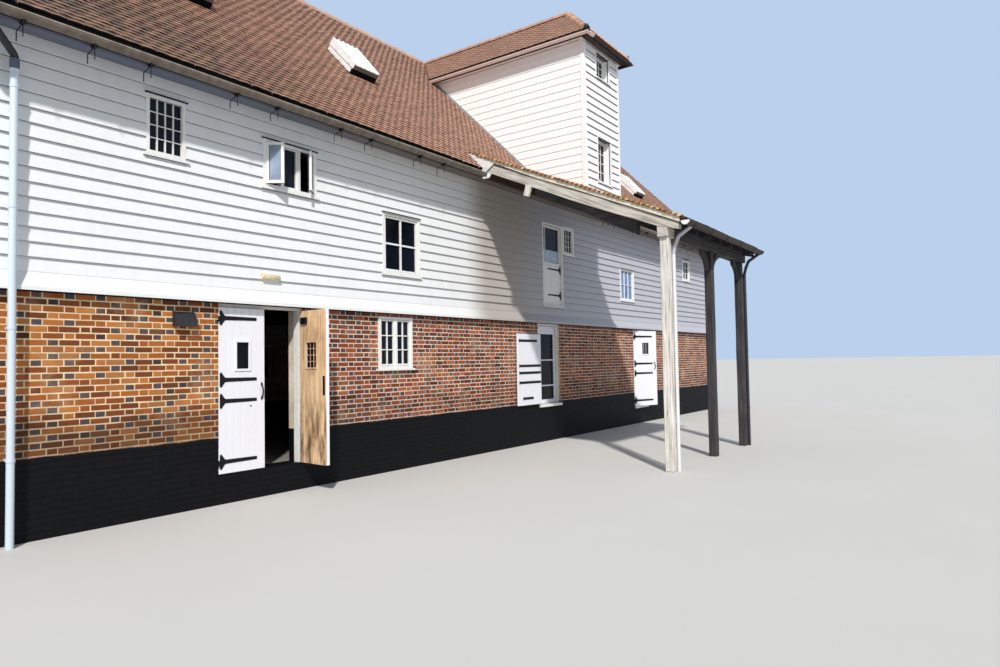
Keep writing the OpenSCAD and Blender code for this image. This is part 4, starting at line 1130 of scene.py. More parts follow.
def make_windows():
    unit = bar_unit()
    front, head_shadows, rims, rear = (Laying(unit, m) for m in ("gloss", "black_paint", "gloss", "gloss"))
    for (s, sill, w, h), *values in (
            (SMALL_WINDOW, 4, 4, 0.016, 0.004), (WIDE_WINDOW, 2, 2, 0.036, 0.04, 0.012),
            (SHADED_WINDOW, 3, 4, 0.012, 0.02, 0.02), (FAR_WINDOW, 3, 2, 0.018, 0.02, 0.03),
            (LAST_WINDOW, 2, 3, 0.02, 0.03, 0.03), (GROUND_WINDOW, 2, 3, 0.02, 0.036, 0.0, 0.03)):
        put_window(front, window_seat(s, sill), w, h, *values)
    # Black strips over the heads of the upper windows: painted shade under the boards' laps.
    for s, sill, w, h in (SMALL_WINDOW, WIDE_WINDOW, FAR_WINDOW, LAST_WINDOW, CASEMENT):
        put_bar(head_shadows, window_seat(s, sill), (-0.02, -0.035, h + 0.004), (w + 0.02, 0.03, h + 0.016))
    head_shadows.piece("window_drips", 54)
    for x0, x1, z0, z1 in tower_openings():
        w, h = x1 - x0, z1 - z0
        put_window(front, Matrix.Translation((x0, TOWER_FRONT + 0.105, z0)), w, h, 3,
                   3 if h < 0.7 else 4, 0.018, 0.03, face=0.004, glass_y=0.025)
        for a, b in (((-0.05, -0.03, -0.05), (0, 0.02, h + 0.05)),
                     ((w, -0.03, -0.05), (w + 0.05, 0.02, h + 0.05)),
                     ((-0.06, -0.032, h), (w + 0.06, 0.02, h + 0.055)),
                     ((-0.07, -0.05, -0.05), (w + 0.07, 0.05, -0.012))):
            put_bar(front, Matrix.Translation((x0, TOWER_FRONT, z0)), a, b)
    front.piece("front_glazing_bars", 51)
    # The rims round the casement's panes: its two open sashes and the fixed light between them
    place, light, post = window_seat(*CASEMENT[:2]), (0.98 - 4 * 0.045) / 3, 0.044
    w, h = light - 0.002, 0.7 - 0.096
    for hinge, turn, back in ((post, -52, 0), (0.98 - post, 42, -w)):
        put_frame(rims, place @ Matrix.Translation((hinge, 0, 0.048))
                  @ Matrix.Rotation(math.radians(turn), 4, "Z") @ Matrix.Translation((back, 0, 0)),
                  0.034, w - 0.034, 0.034, h - 0.034, 0.012, 0.008, 0.019)
    put_frame(rims, place, light + 0.09, 2 * light + 0.09, 0.045, 0.655, 0.025, 0.016, 0.05)
    rims.piece("open_window_rims", 52)
    seats = [((x1, -FRONT + 0.03, z0), math.pi, x1 - x0, z1 - z0)
             for x0, x1, z0, z1 in back_openings() + back_openings(False)]
    for y0, y1, z0, z1 in gable_openings():
        seats += [((LEFT - 0.03, y1, z0), -QUARTER, y1 - y0, z1 - z0),
                  ((RIGHT + 0.03, y0, z0), QUARTER, y1 - y0, z1 - z0)]
    for spot, turn, w, h in seats:
        place = Matrix.Translation(spot) @ Matrix.Rotation(turn, 4, "Z")
        put_window(rear, place, w, h, 2, 3, 0.022, casing=0.03 if spot[2] > BRICK_TOP else 0)
        put_bar(rear, place, (-0.04, -0.025, -0.035), (w + 0.04, 0.03, 0.0))
    rear.piece("rear_glazing_bars", 53)


def hung(s, sill, turn, right=False):
    """The frame of a closed leaf turned about its pins: its hinge edge on X 0, its face on Y 0."""
    place = (Matrix.Translation((station(s), FRONT - PIN_OUT, sill))
             @ Matrix.Rotation(math.radians(turn if right else -turn), 4, "Z")
             @ Matrix.Translation((0, PIN_OUT, 0)))
    return place @ Matrix.Scale(-1, 4, (1, 0, 0)) if right else place


def leaf_boards(shape, w, h, y0, y1, count, pane, seed, groove=0.0015, bevel=0.004):
    """Upright boards side by side, cut round a pane of left, foot, width and height."""
    rng = random.Random(seed)
    cuts = [w * (k + rng.uniform(-0.08, 0.08)) / count for k in range(1, count)]
    for a, b in zip([0.0] + cuts, cuts + [w]):
        pieces = [(a, b, 0.0, h)]
        if pane and a < pane[0] + pane[2] and b > pane[0]:
            p0, p1, foot, head = max(a, pane[0]), min(b, pane[0] + pane[2]), pane[1], pane[1] + pane[3]
            pieces = [(a, b, 0.0, foot), (a, b, head, h)]
            if a < p0 - 0.01:
                pieces.append((a, p0, foot, head))
            if p1 < b - 0.01:
                pieces.append((p1, b, foot, head))
        for left, right, low, high in pieces:
            shape.box((left + (groove if left > 0 else 0), y0, low),
                      (right - (groove if right < w else 0), y1, high), bevel)


def put_strap(shape, x, z, w, h=0.055, thick=0.005):
    """A strap hinge on a leaf's face: pointed at its root, blunt at its tip, with four nails."""
    mid = h / 2
    lower = [(0.0, -0.085), (0.018, -0.11), (0.04, -0.085), (0.062, -0.05), (0.085, -h * 0.5),
             (w - 0.01, -h * 0.42), (w, -h * 0.3)]
    outline = [(a, mid + b) for a, b in lower] + [(a, mid - b) for a, b in lower[::-1]]
    shape.prism([(x + a, z + b) for a, b in outline], "Y", -thick, -0.0002, 0.0015)
    for k in range(4):
        at = x + 0.06 + (w - 0.12) * k / 3
        shape.tube([(at, -thick - 0.005, z + mid), (at, -thick + 0.002, z + mid)], (0.004, 0.009), 8)


def put_knuckle(shape, z):
    """The barrel of a hinge round its pin and the tongue that joins it to the strap."""
    place = shape.place
    shape.place = place @ Matrix.Translation((0, -PIN_OUT, z))
    shape.turned([(0.0085, 0.0), (0.012, 0.002), (0.012, 0.048), (0.0085, 0.05), (0.0085, 0.0)], 14)
    shape.place = place
    shape.box((0.008, -0.010, z + 0.006), (0.03, -0.0045, z + 0.044), 0.001)


def put_pane_frame(shape, pane, y, out, wide, bars, bar_y0, bar_y1, bar=0.008):
    """A planted moulding round a pane, from y to out, and the bars across it."""
    x0, z0, w, h = pane
    x1, z1 = x0 + w, z0 + h
    for a, b, c, d in ((x0 - wide, x0 + 0.006, z0 - wide, z1 + wide),
                       (x1 - 0.006, x1 + wide, z0 - wide, z1 + wide),
                       (x0, x1, z0 - wide, z0 + 0.006), (x0, x1, z1 - 0.006, z1 + wide)):
        shape.box((a, y, c), (b, out, d), 0.003)
    cols, rows = bars
    for k in range(1, cols):
        x = x0 + w * k / cols
        shape.box((x - bar / 2, bar_y0, z0), (x + bar / 2, bar_y1, z0 + h))
    for k in range(1, rows):
        z = z0 + h * k / rows
        shape.box((x0, bar_y0 + 0.0005, z - bar / 2), (x0 + w, bar_y1 - 0.0005, z + bar / 2))


def make_leaf(body, place, w, h, hinges, straps, count, seed, pane=None, bars=(1, 1),
              inner="leaf", handle=None, keyhole=None, lock=False, reach=0.8):
    """A boarded leaf in its closed place: boards, an inner skin, straps, pane and handle.

    A leaf with a lock also has the strip that covers the joint between two leaves.
    """
    thick = LEAF_THICK
    boards, skin, metal, sheet = (Shape(place) for _ in range(4))
    leaf_boards(boards, w, h, 0.0, thick - 0.008, count, pane, seed)
    leaf_boards(skin, w, h, thick - 0.008, thick, count, pane, seed, 0.0025, 0.003)
    if pane:
        put_pane_frame(boards, pane, 0.001, -0.012, 0.03, bars, 0.012, 0.02)
        put_pane_frame(skin, pane, thick - 0.001, thick + 0.01, 0.022, bars, 0.0262, 0.034)
        x, z, wide, tall = pane
        sheet.box((x, 0.02, z), (x + wide, 0.026, z + tall))
    for z in hinges:
        put_knuckle(metal, z)
    for z in straps:
        put_strap(metal, 0.014, z, w * reach)
    if handle:
        x, z, tall = *handle, 0.2
        for at in (z, z + tall):
            metal.prism([(x, at - 0.035), (x + 0.02, at), (x, at + 0.035), (x - 0.02, at)], "Y",
                        -0.004, 0.0)
        metal.tube([(x, -0.003 - 0.034 * math.sin(math.pi * k / 8), z + tall * k / 8)
                    for k in range(9)], 0.01, 8)
    if keyhole:
        x, z = keyhole
        metal.tube([(x, -0.004, z), (x, 0.001, z)], 0.012, 12)
    if lock:
        boards.box((w - 0.06, -0.02, 0.0), (w, -0.0005, h), 0.004)
        metal.box((0.06, thick, h - 0.2), (0.21, thick + 0.035, h - 0.1), 0.006)
        metal.box((0.11, thick + 0.035, h - 0.165), (0.14, thick + 0.05, h - 0.135), 0.004)
        metal.box((w - 0.07, thick, 1.02), (w - 0.02, thick + 0.01, 1.3), 0.003)
    boards.piece(body + "_boards", "leaf", body, (body + "_leaf",))
    skin.piece(body + "_inner_skin", inner, body, upright=1.0)
    metal.piece(body + "_irons", "iron", body)
    if pane:
        sheet.piece(body + "_pane", "glass", body)


def make_doors():
    gap, head, ground, sill_2, sill_3 = LEAF_GAP, BRICK_TOP - 0.06, 0.4, 0.86, 0.5
    tall, foot_2 = head - ground - 2 * gap, sill_2 + 0.025
    make_leaf("door_1_left", hung(DOOR_1[0] + gap, ground + gap, 0), MEETING - 1.5 * gap, tall,
              DOOR_1_HINGES, DOOR_1_STRAPS, 6, 2, (0.27, 1.42, 0.2, 0.38), inner="raw_wood",
              handle=(0.68, 1.0), keyhole=(0.5, 0.9))
    make_leaf("door_1_right", hung(DOOR_1[1] - gap, ground + gap, 85, True),
              DOOR_1[1] - DOOR_1[0] - MEETING - 1.5 * gap, tall, DOOR_1_HINGES, DOOR_1_STRAPS, 5, 3,
              (0.18, 1.42, 0.26, 0.38), (3, 4), "raw_wood", lock=True)
    make_leaf("door_2_boarded", hung(DOOR_2[0] + gap, foot_2, 180), 0.95 - 2 * gap, 1.59,
              DOOR_2_HINGES, DOOR_2_HINGES, 6, 4, reach=0.78)
    make_leaf("door_3", hung(DOOR_3[0] + gap, sill_3 + gap, 22), 0.92 - 2 * gap,
              head - sill_3 - 2 * gap, DOOR_3_HINGES, DOOR_3_STRAPS, 6, 5, (0.33, 1.5, 0.26, 0.34),
              (3, 1), handle=(0.82, 1.05))
    # The bars on the inner face of the boarded leaf, which shows when it is folded back
    bars = Shape(hung(DOOR_2[0] + gap, foot_2, 180))
    for z, a, b in ((1.436, 0.16, 0.9), (0.876, 0.02, 0.9), (0.72, 0.02, 0.9), (0.506, 0.02, 0.9),
                    (0.153, 0.34, 0.76)):
        bars.box((a, 0.0402, z - 0.0275), (b, 0.046, z + 0.0275), 0.0015)
        bars.box((b - 0.02, 0.0402, z - 0.037), (b, 0.05, z + 0.037), 0.002)
    bars.piece("door_2_boarded_bars", "iron", "door_2_boarded")
    # The glazed leaf behind it
    w, h, stile, body = 0.95 - 0.09 - 2 * gap, head - sill_2 - 2 * gap, 0.05, "door_2_glazed"
    place = (Matrix.Translation((station(DOOR_2[0]) + 0.045 + gap, FRONT + 0.164, sill_2 + gap))
             @ Matrix.Scale(-1, 4, (0, 1, 0)) @ Matrix.Translation((0, PIN_OUT, 0)))
    leaf, sheet, metal = (Shape(place) for _ in range(3))
    rails = ((0.0, 0.09), (0.4, 0.433), (1.0, 1.033), (h - 0.19, h))
    for x in (0.0, w - stile):
        leaf.box((x, 0.0, 0.0), (x + stile, LEAF_THICK, h), 0.003)
    for low, high in rails:
        leaf.box((stile, 0.001, low), (w - stile, 0.039, high), 0.003)
    for (_, low), (high, _) in zip(rails, rails[1:]):
        sheet.box((stile, 0.017, low), (w - stile, 0.023, high))
    for z in DOOR_2_HINGES:
        put_knuckle(metal, z)
        metal.box((0.014, -0.004, z), (stile - 0.006, -0.0002, z + 0.05), 0.001)
    metal.box((w - 0.045, -0.02, 0.95), (w - 0.015, 0.0, 1.12), 0.004)
    metal.tube([(w - 0.03, -0.02, 1.0), (w - 0.03, -0.05, 1.0), (w - 0.13, -0.05, 1.0)], 0.008, 8)
    leaf.piece("glazed_leaf", "leaf", body, (body + "_leaf",))
    sheet.piece("glazed_leaf_panes", "glass", body)
    metal.piece("glazed_leaf_irons", "iron", body)


def make_loading_door():
    """The closed upper door: its boards, stiles, two straps and a carved strip at its foot."""
    place = Matrix.Translation((station(LOADING[0]) + 0.045, FRONT + 0.03, FIRST + 0.045))
    w, h, stile = LOADING[2] - 0.09, LOADING[3] - 0.09, 0.055
    mid, face = h * 0.53, Shape(place)
    leaf_boards(face, w, mid - 0.05, -0.012, -0.0005, 6, None, 9, 0.002, 0.003)
    for a, b, c, d in ((0, stile, mid - 0.05, h), (w - stile, w, mid - 0.05, h),
                       (stile, w - stile, mid - 0.05, mid + 0.012), (stile, w - stile, h - stile, h)):
        face.box((a, -0.012, c), (b, -0.0005, d), 0.003)
    face.box((stile + 0.1, 0.004, mid), (stile + 0.122, 0.02, h - stile), 0.002)
    face.piece("loading_door_face", "gloss")
    metal = Shape(place @ Matrix.Translation((w, -0.012, 0)) @ Matrix.Scale(-1, 4, (1, 0, 0)))
    for z in (0.22, mid - 0.16):
        put_strap(metal, 0.0, z, 0.6, h=0.04)
    metal.piece("loading_door_irons", "iron")
    foot = Shape(Matrix.Translation((station(LOADING[0]) - 0.03, FRONT, FIRST - 0.12)))
    foot.box((0, -0.075, 0.09), (0.98, -0.001, 0.118), 0.004)
    foot.piece("loading_sill", "gloss")


# Trim, canopy, drainage and lights


def eaves_lengths(side, past):
    """The lengths of eaves beside the canopy on the front, or the whole of it on the back."""
    if side < 0:
        return ((LEFT - past, RIGHT + past),)
    return (LEFT - past, CANOPY_L - 0.01), (CANOPY_R + 0.01, RIGHT + past)


def make_trim():
    """Corner boards, the flared foot board, fascias, bargeboards and lead."""
    trim, strip, verge, fascia, closing, flash = (Shape() for _ in range(6))
    low = canopy_top(FRONT - TOWER_FRONT)
    for x, side in ((LEFT, 1), (RIGHT, -1)):
        for y, out in ((FRONT, -1), (-FRONT, 1)):
            trim.box((x - side * 0.026, y + out * 0.026, SKIRT_TOP - 0.01),
                     (x + side * 0.09, y + out * 0.001, EAVES_Z - 0.002), 0.003)
            trim.box((x - side * 0.027, y + out * 0.025, BRICK_TOP - 0.005),
                     (x - side * 0.001, y - out * 0.09, EAVES_Z - 0.002), 0.003)
    for x, side in ((TOWER_L, 1), (TOWER_R, -1)):
        trim.box((x - side * 0.024, TOWER_FRONT - 0.024, low + 0.02),
                 (x + side * 0.07, TOWER_FRONT - 0.001, TOWER_TOP - 0.08), 0.003)
        trim.box((x - side * 0.025, TOWER_FRONT - 0.023, low + 0.02),
                 (x - side * 0.001, TOWER_FRONT + 0.07, TOWER_TOP - 0.08), 0.003)
    for side in (1, -1):
        trim.prism([(side * (FRONT - out), z) for out, z in (
            (SKIRT_OUT + 0.016, BRICK_TOP - 0.012), (SKIRT_OUT + 0.016, BRICK_TOP + 0.03),
            (0.024, SKIRT_TOP + 0.012), (0.001, SKIRT_TOP + 0.012),
            (SKIRT_OUT + 0.001, BRICK_TOP + 0.022), (SKIRT_OUT + 0.001, BRICK_TOP - 0.012))],
            "X", LEFT - 0.02, RIGHT + 0.02)
        # A near-black strip under the flared foot board, as painted shade.
        strip.box((LEFT - 0.01, side * (FRONT - 0.004), BRICK_TOP - 0.02),
                  (RIGHT + 0.01, side * (FRONT - SKIRT_OUT + 0.004), BRICK_TOP - 0.0005), 0.001)
        # Black fascias fill the dark gap under the tile edges, as painted shade.
        for a, b in eaves_lengths(side, 0.09):
            fascia.box((a, side * (EAVES_Y - 0.012), EAVES_TAIL + 0.03),
                       (b, side * (EAVES_Y - 0.001), EAVES_TOP), 0.002)
        # Closing boards under the slab's tail, coloured as painted shade.
        closing.prism([(side * (FRONT - out), z) for out, z in (
            (0.321, EAVES_Z + 0.023), (0.449, EAVES_TAIL - 0.0005), (0.449, EAVES_TAIL - 0.007),
            (0.321, EAVES_Z + 0.016))], "X", LEFT - 0.09, RIGHT + 0.09)
        closing.box((LEFT - 0.09, side * (FRONT - 0.4505), EAVES_TAIL - 0.007),
                    (RIGHT + 0.09, side * (FRONT - 0.457), EAVES_TAIL + 0.029), 0.001)
    for x, side in ((LEFT - 0.1, -1), (RIGHT + 0.1, 1)):
        for way in (1, -1):
            foot, z = way * (EAVES_Y + 0.02), EAVES_TOP - 0.03
            verge.prism([(0.0, RIDGE_Z - 0.03), (foot, z), (foot, z - 0.24), (0.0, RIDGE_Z - 0.3)], "X",
                        *sorted((x - side * 0.02, x + side * 0.008)))
    for x, side in ((TOWER_L, -1), (TOWER_R, 1)):
        flash.prism([(TOWER_FRONT - 0.02, low), (FRONT - VALLEY, ROOF_Z - VALLEY),
                     (TOWER_BACK - 0.02, TOWER_TOP - 0.02), (TOWER_BACK - 0.1, TOWER_TOP - 0.02),
                     (FRONT - 0.11, ROOF_Z + 0.01), (TOWER_FRONT - 0.02, low + 0.075)], "X",
                    *sorted((x + side * 0.03, x + side * 0.001)))
        flash.prism([(TOWER_FRONT - 0.1, low - 0.02), (FRONT - VALLEY, ROOF_Z - 0.03),
                     (TOWER_BACK, TOWER_TOP + 0.024), (TOWER_BACK, TOWER_TOP + 0.03),
                     (FRONT - VALLEY, ROOF_Z - 0.022), (TOWER_FRONT - 0.1, low - 0.014)], "X",
                    *sorted((x + side * 0.001, x + side * 0.045)))
    flash.box((TOWER_L - 0.02, TOWER_FRONT - 0.03, low),
              (TOWER_R + 0.02, TOWER_FRONT - 0.001, low + 0.09), 0.004)
    for shape, name, material in (
            (trim, "corner_and_foot_boards", "boards"), (strip, "strips_under_foot_boards", "gap"),
            (verge, "bargeboards", "gloss"), (fascia, "fascias", "black_paint"),
            (closing, "eaves_closing_boards", "soffit_paint"), (flash, "tower_lead", "lead")):
        shape.piece(name, material)
    make_tower_eaves()


def make_tower_eaves():
    """The boxed eaves under the tower's tiles, the front soffit dark as painted shade, and the dark knobs at
    the feet of its hips.
    """
    low, high, box, dark = HIP_LOW, HIP_HIGH, Shape(), Shape()
    foot, head, near, back = HIP_EAVES - 0.09, HIP_EAVES - 0.07, TOWER_FRONT - 0.018, TOWER_BACK
    # The front soffit goes with the dark pieces, as painted shade.
    dark.box((low.x + 0.005, low.y + 0.02, foot), (high.x - 0.005, near - 0.001, head), 0.003)
    for a, b, end, z0, z1 in (
            (low.x + 0.005, TOWER_L - 0.002, back + 0.02, foot, head),
            (TOWER_R + 0.002, high.x - 0.005, back + 0.02, foot, head),
            (TOWER_L - 0.018, TOWER_L - 0.001, back - 0.02, TOWER_TOP - 0.14, foot),
            (TOWER_R + 0.001, TOWER_R + 0.018, back - 0.02, TOWER_TOP - 0.14, foot),
            (TOWER_L - 0.018, TOWER_R + 0.018, TOWER_FRONT - 0.001, TOWER_TOP - 0.14, foot)):
        box.box((a, near, z0), (b, end, z1), 0.003)
    box.piece("tower_eaves_boards", "eaves")
    dark.box((low.x - 0.002, low.y - 0.004, foot), (high.x + 0.002, low.y + 0.016, HIP_EAVES), 0.003)
    for x, fall in ((low.x - 0.002, 0.035), (high.x - 0.016, 0.09)):
        dark.box((x, low.y + 0.017, HIP_EAVES - fall), (x + 0.018, back - 0.1, HIP_EAVES), 0.003)
    for x in (low.x + 0.02, high.x - 0.02):
        knob = Shape(Matrix.Translation((x, low.y + 0.02, HIP_EAVES + 0.005)))
        knob.turned([(0.0, 0.0), (0.05, 0.012), (0.07, 0.055), (0.052, 0.1), (0.0, 0.115)], 12)
        dark.take(knob)
    dark.piece("tower_fascias", "dark_oak")


def rough_timber(shape, low, high, amount, step=0.16, scale=2.2):
    """A squared timber whose faces and edges wander a little."""
    part = Shape()
    part.box(low, high, 0.012)
    part.roughen(amount, scale, step)
    shape.take(part)


def plate(shape, x0, x1):
    """A length of the plate on the posts."""
    rough_timber(shape, (x0, POST_Y - 0.09, PLATE_Z), (x1, POST_Y + 0.09, PLATE_Z + 0.22), 0.008)


def brace(shape, mid, way, size=0.6, reach=0.62, deep=0.176):
    """A curved brace from a post up to the plate."""
    turns = [math.radians(180 - 90 * k / 8) for k in range(9)]
    curve = sorted(((0.7006 + 0.558 * math.cos(a), -0.7006 + 0.558 * math.sin(a)) for a in turns),
                   key=lambda p: -p[0])
    outline = [(0.0, -reach), (0.0, -reach + deep), (reach - deep, 0.0), (reach, 0.0)]
    outline += [p for p in curve if 0.13 < p[0] <= reach and p[1] > -reach + 0.01]
    part = Shape()
    part.prism([(mid + way * (POST_HALF + a * size), PLATE_Z + b * size) for a, b in outline], "Y",
               POST_Y - 0.035, POST_Y + 0.035, 0.006)
    shape.take(part)


def crooked(shape, outline, x0, x1, amount, scale):
    """A crooked timber from points given as distances in front of the front wall, and heights."""
    part = Shape()
    part.lines(outline, x0, x1)
    part.roughen(amount, scale, 0.2)
    shape.take(part)


def verge_beam(shape, x):
    """A crooked beam under the canopy's edge."""
    deep = ((CANOPY_OUT - 0.06, 0.1), (4.06, 0.17), (3.4, 0.19), (2.5, 0.205), (1.7, 0.19), (1.1, 0.19),
            (0.5, 0.17))
    top = [(out, canopy_top(out) - CANOPY_RISE - 0.0004, d) for out, d in deep]
    crooked(shape, [(out, z) for out, z, d in top] + [(out, z - d) for out, z, d in top[::-1]],
            x, x + 0.14, 0.011, 1.7)


def make_canopy():
    """The old posts, plate, verge beams and rafters, and the boards of the canopy's edges."""
    for name, ways, shade in (("post_left", (), "silver_oak"), ("post_middle", (-1, 1), "dark_oak"),
                              ("post_right", (-1,), "dark_oak")):
        low, high = POSTS[name]
        mid = high.x - POST_HALF if name == "post_right" else (low.x + high.x) / 2
        post = Shape()
        rough_timber(post, (mid - POST_HALF, POST_Y - POST_HALF, 0.0),
                     (mid + POST_HALF, POST_Y + POST_HALF, PLATE_Z - 0.0005), 0.005)
        for way in ways:
            brace(post, mid, way)
        post.piece(name, shade, replaced=("canopy_" + name,), upright=1.0)
    (left, _, _), (right, _, _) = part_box("canopy_beams")
    beams, inner, cheek, peg, front = (Shape() for _ in range(5))
    plate(beams, left, CANOPY_L + 0.35)
    verge_beam(beams, CANOPY_L + 0.012)
    beams.piece("canopy_verge_timbers", "beam_oak", replaced=("canopy_beams",), upright=0.0)
    # The plate beyond the first post, the far verge beam and a rafter under the canopy: dark timber, near-black
    # partly as painted shade.
    plate(inner, CANOPY_L + 0.35, right)
    verge_beam(inner, CANOPY_R - 0.19)
    crooked(inner, [(out, canopy_top(out) - CANOPY_RISE - 0.001) for out in (1.5, 2.6, 3.65)]
            + [(3.62, 4.03), (2.6, 4.54), (1.57, 5.03)], CANOPY_L + 0.2, CANOPY_L + 0.33, 0.012, 1.9)
    inner.piece("canopy_inner_timbers", "dark_oak", upright=0.0)
    outs = ((0.6, 0.055), (1.68, 0.09), (2.53, 0.08), (3.4, 0.085), (CANOPY_OUT - 0.03, 0.085))
    for x, name in ((CANOPY_L - 0.014, "canopy_left_edge"), (CANOPY_R - 0.01, "canopy_right_edge")):
        edge = Shape()
        edge.lines([(out, canopy_top(out) - 0.006) for out, d in outs]
                   + [(out, canopy_top(out) - d) for out, d in outs[::-1]], x, x + 0.024)
        edge.piece(name, "cream_edge")
    cheek.lines(((0.0, canopy_top(0.0) - 0.004), (0.74, canopy_top(0.74) - 0.01),
                 (0.74, canopy_top(0.74) - 0.085), (0.55, EAVES_Z), (0.3, EAVES_Z),
                 (0.0, ROOF_Z - 0.1)), CANOPY_L - 0.02, CANOPY_L + 0.019)
    end = GUTTER_R + 0.004
    cheek.prism([(CANOPY_FRONT - GUTTER_R + end * math.cos(a), CANOPY_TOP_Z - 0.06 - end * math.sin(a))
                 for a in (math.pi * k / 12 for k in range(13))], "X", CANOPY_L - 0.022, CANOPY_L - 0.0102)
    cheek.piece("canopy_white_boards", "gloss")
    peg.prism([(FRONT - out, z) for out, z in ((1.48, 5.2), (1.42, 5.0), (1.52, 4.97), (1.6, 5.17))],
              "X", CANOPY_L - 0.01, CANOPY_L + 0.06, 0.006)
    peg.piece("verge_peg", "silver_oak", upright=1.0)
    # A near-black fascia along the canopy's front: dark paint, and painted shade under the tile edge.
    front.box((CANOPY_L - 0.008, CANOPY_FRONT - 0.006, CANOPY_TOP_Z - 0.12),
              (CANOPY_R + 0.01, CANOPY_FRONT + 0.014, CANOPY_TOP_Z - 0.02), 0.003)
    front.piece("canopy_front_fascia", "black_paint")


def put_block(shape, side, x, wide, out0, out1, z0, z1):
    shape.box((x - wide / 2, side * (FRONT - out0), z0), (x + wide / 2, side * (FRONT - out1), z1), 0.002)


def put_band(shape, side, x, out=GUTTER_OUT, z=GUTTER_Z, wide=0.014):
    """A strap round the underside of a gutter."""
    rings = [[(side * (FRONT - out - GUTTER_R - d * math.cos(a)), z - d * math.sin(a))
              for a in (math.pi * k / 10 for k in range(11))] for d in (GUTTER_R + 0.001, GUTTER_R + 0.006)]
    shape.prism(rings[0] + rings[1][::-1], "X", x - wide / 2, x + wide / 2)


def put_gutter_iron(shape, side, x):
    low = GUTTER_Z - GUTTER_R
    put_block(shape, side, x, 0.04, 0.46, 0.54, low - 0.035, low + 0.005)
    for *ends, in (((0.5, 0.165), (0.5, 0.03)), ((0.33, 0.169), (0.33, 0.058)),
                   ((0.33, 0.06), (0.47, 0.03))):
        shape.tube([(x, side * (FRONT - out), low - fall) for out, fall in ends], 0.006, 8)


def make_drainage():
    """Irons and clips of the gutters, the pipes and their clips."""
    irons, clips, rim, pipes, rings = (Shape() for _ in range(5))
    for side in (1, -1):
        for k in range(13):
            union = LEFT + 1.49 + 1.81 * k
            if union < RIGHT and not (side > 0 and CANOPY_L - 0.15 < union < CANOPY_R + 0.15):
                for dx in (-0.05, 0.05):
                    put_band(clips, side, union + dx)
                put_block(clips, side, union, 0.115, GUTTER_OUT, 0.591, GUTTER_Z - 0.012, GUTTER_Z + 0.003)
            for x in (union - 0.33, union + 0.31):
                if x < RIGHT and not (side > 0 and CANOPY_L - 0.06 < x < CANOPY_R + 0.06):
                    put_gutter_iron(irons, side, x)
                    put_band(clips, side, x, wide=0.02)
        put_gutter_iron(irons, side, LEFT + 0.45)
        for ends in eaves_lengths(side, 0.1):
            rim.tube([(x, side * (FRONT - GUTTER_OUT - 2 * GUTTER_R), GUTTER_Z + 0.002) for x in ends],
                     0.0065, 8)
    x = CANOPY_L + 0.3
    while x < CANOPY_R:
        put_band(irons, 1, x, CANOPY_OUT, CANOPY_TOP_Z - 0.06)
        x += 0.85

    def pipe(shape, s, points, radius):
        shape.tube([(station(s + along), FRONT - out, z) for along, out, z in points], radius, 16)

    pipe(pipes, PIPE_S, ((-0.4, 0.52, 5.51), (-0.4, 0.52, 5.478), (-0.375, 0.498, 5.45),
                         (-0.025, 0.175, 5.265), (0, PIPE_OUT, 5.235), (0, PIPE_OUT, 5.2),
                         (0, PIPE_OUT, 0)), 0.04)
    pipe(pipes, PIPE_S, [(0, PIPE_OUT, z) for z in (5.1, 5.21)], 0.048)
    for z in (0.9, 2.3, 3.6, 4.9):
        pipe(rings, PIPE_S, [(0, PIPE_OUT, z), (0, PIPE_OUT, z + 0.035)], 0.045)
        rings.box((station(PIPE_S) - 0.012, FRONT - PIPE_OUT, z + 0.004),
                  (station(PIPE_S) + 0.012, FRONT, z + 0.031), 0.002)
    for s in CANOPY_PIPE_S:
        pipe(pipes, s, ((0, CANOPY_OUT + 0.06, 4.06), (0, CANOPY_OUT + 0.02, 4.04), (0, 4.335, 3.92),
                        (0, 4.275, 3.78), (0, CANOPY_PIPE_OUT, 3.65), (0, CANOPY_PIPE_OUT, 0)), 0.032)
        for z in (0.8, 2.0, 3.2):
            pipe(rings, s, [(0, CANOPY_PIPE_OUT, z), (0, CANOPY_PIPE_OUT, z + 0.03)], 0.037)
    irons.piece("gutter_irons", "iron")
    clips.piece("gutter_clips", "gutter")
    rim.piece("gutter_rims", "rim")
    pipes.piece("downpipes", "pipe", replaced=("downpipes",), smooth=40)
    rings.piece("pipe_clips", "pipe")


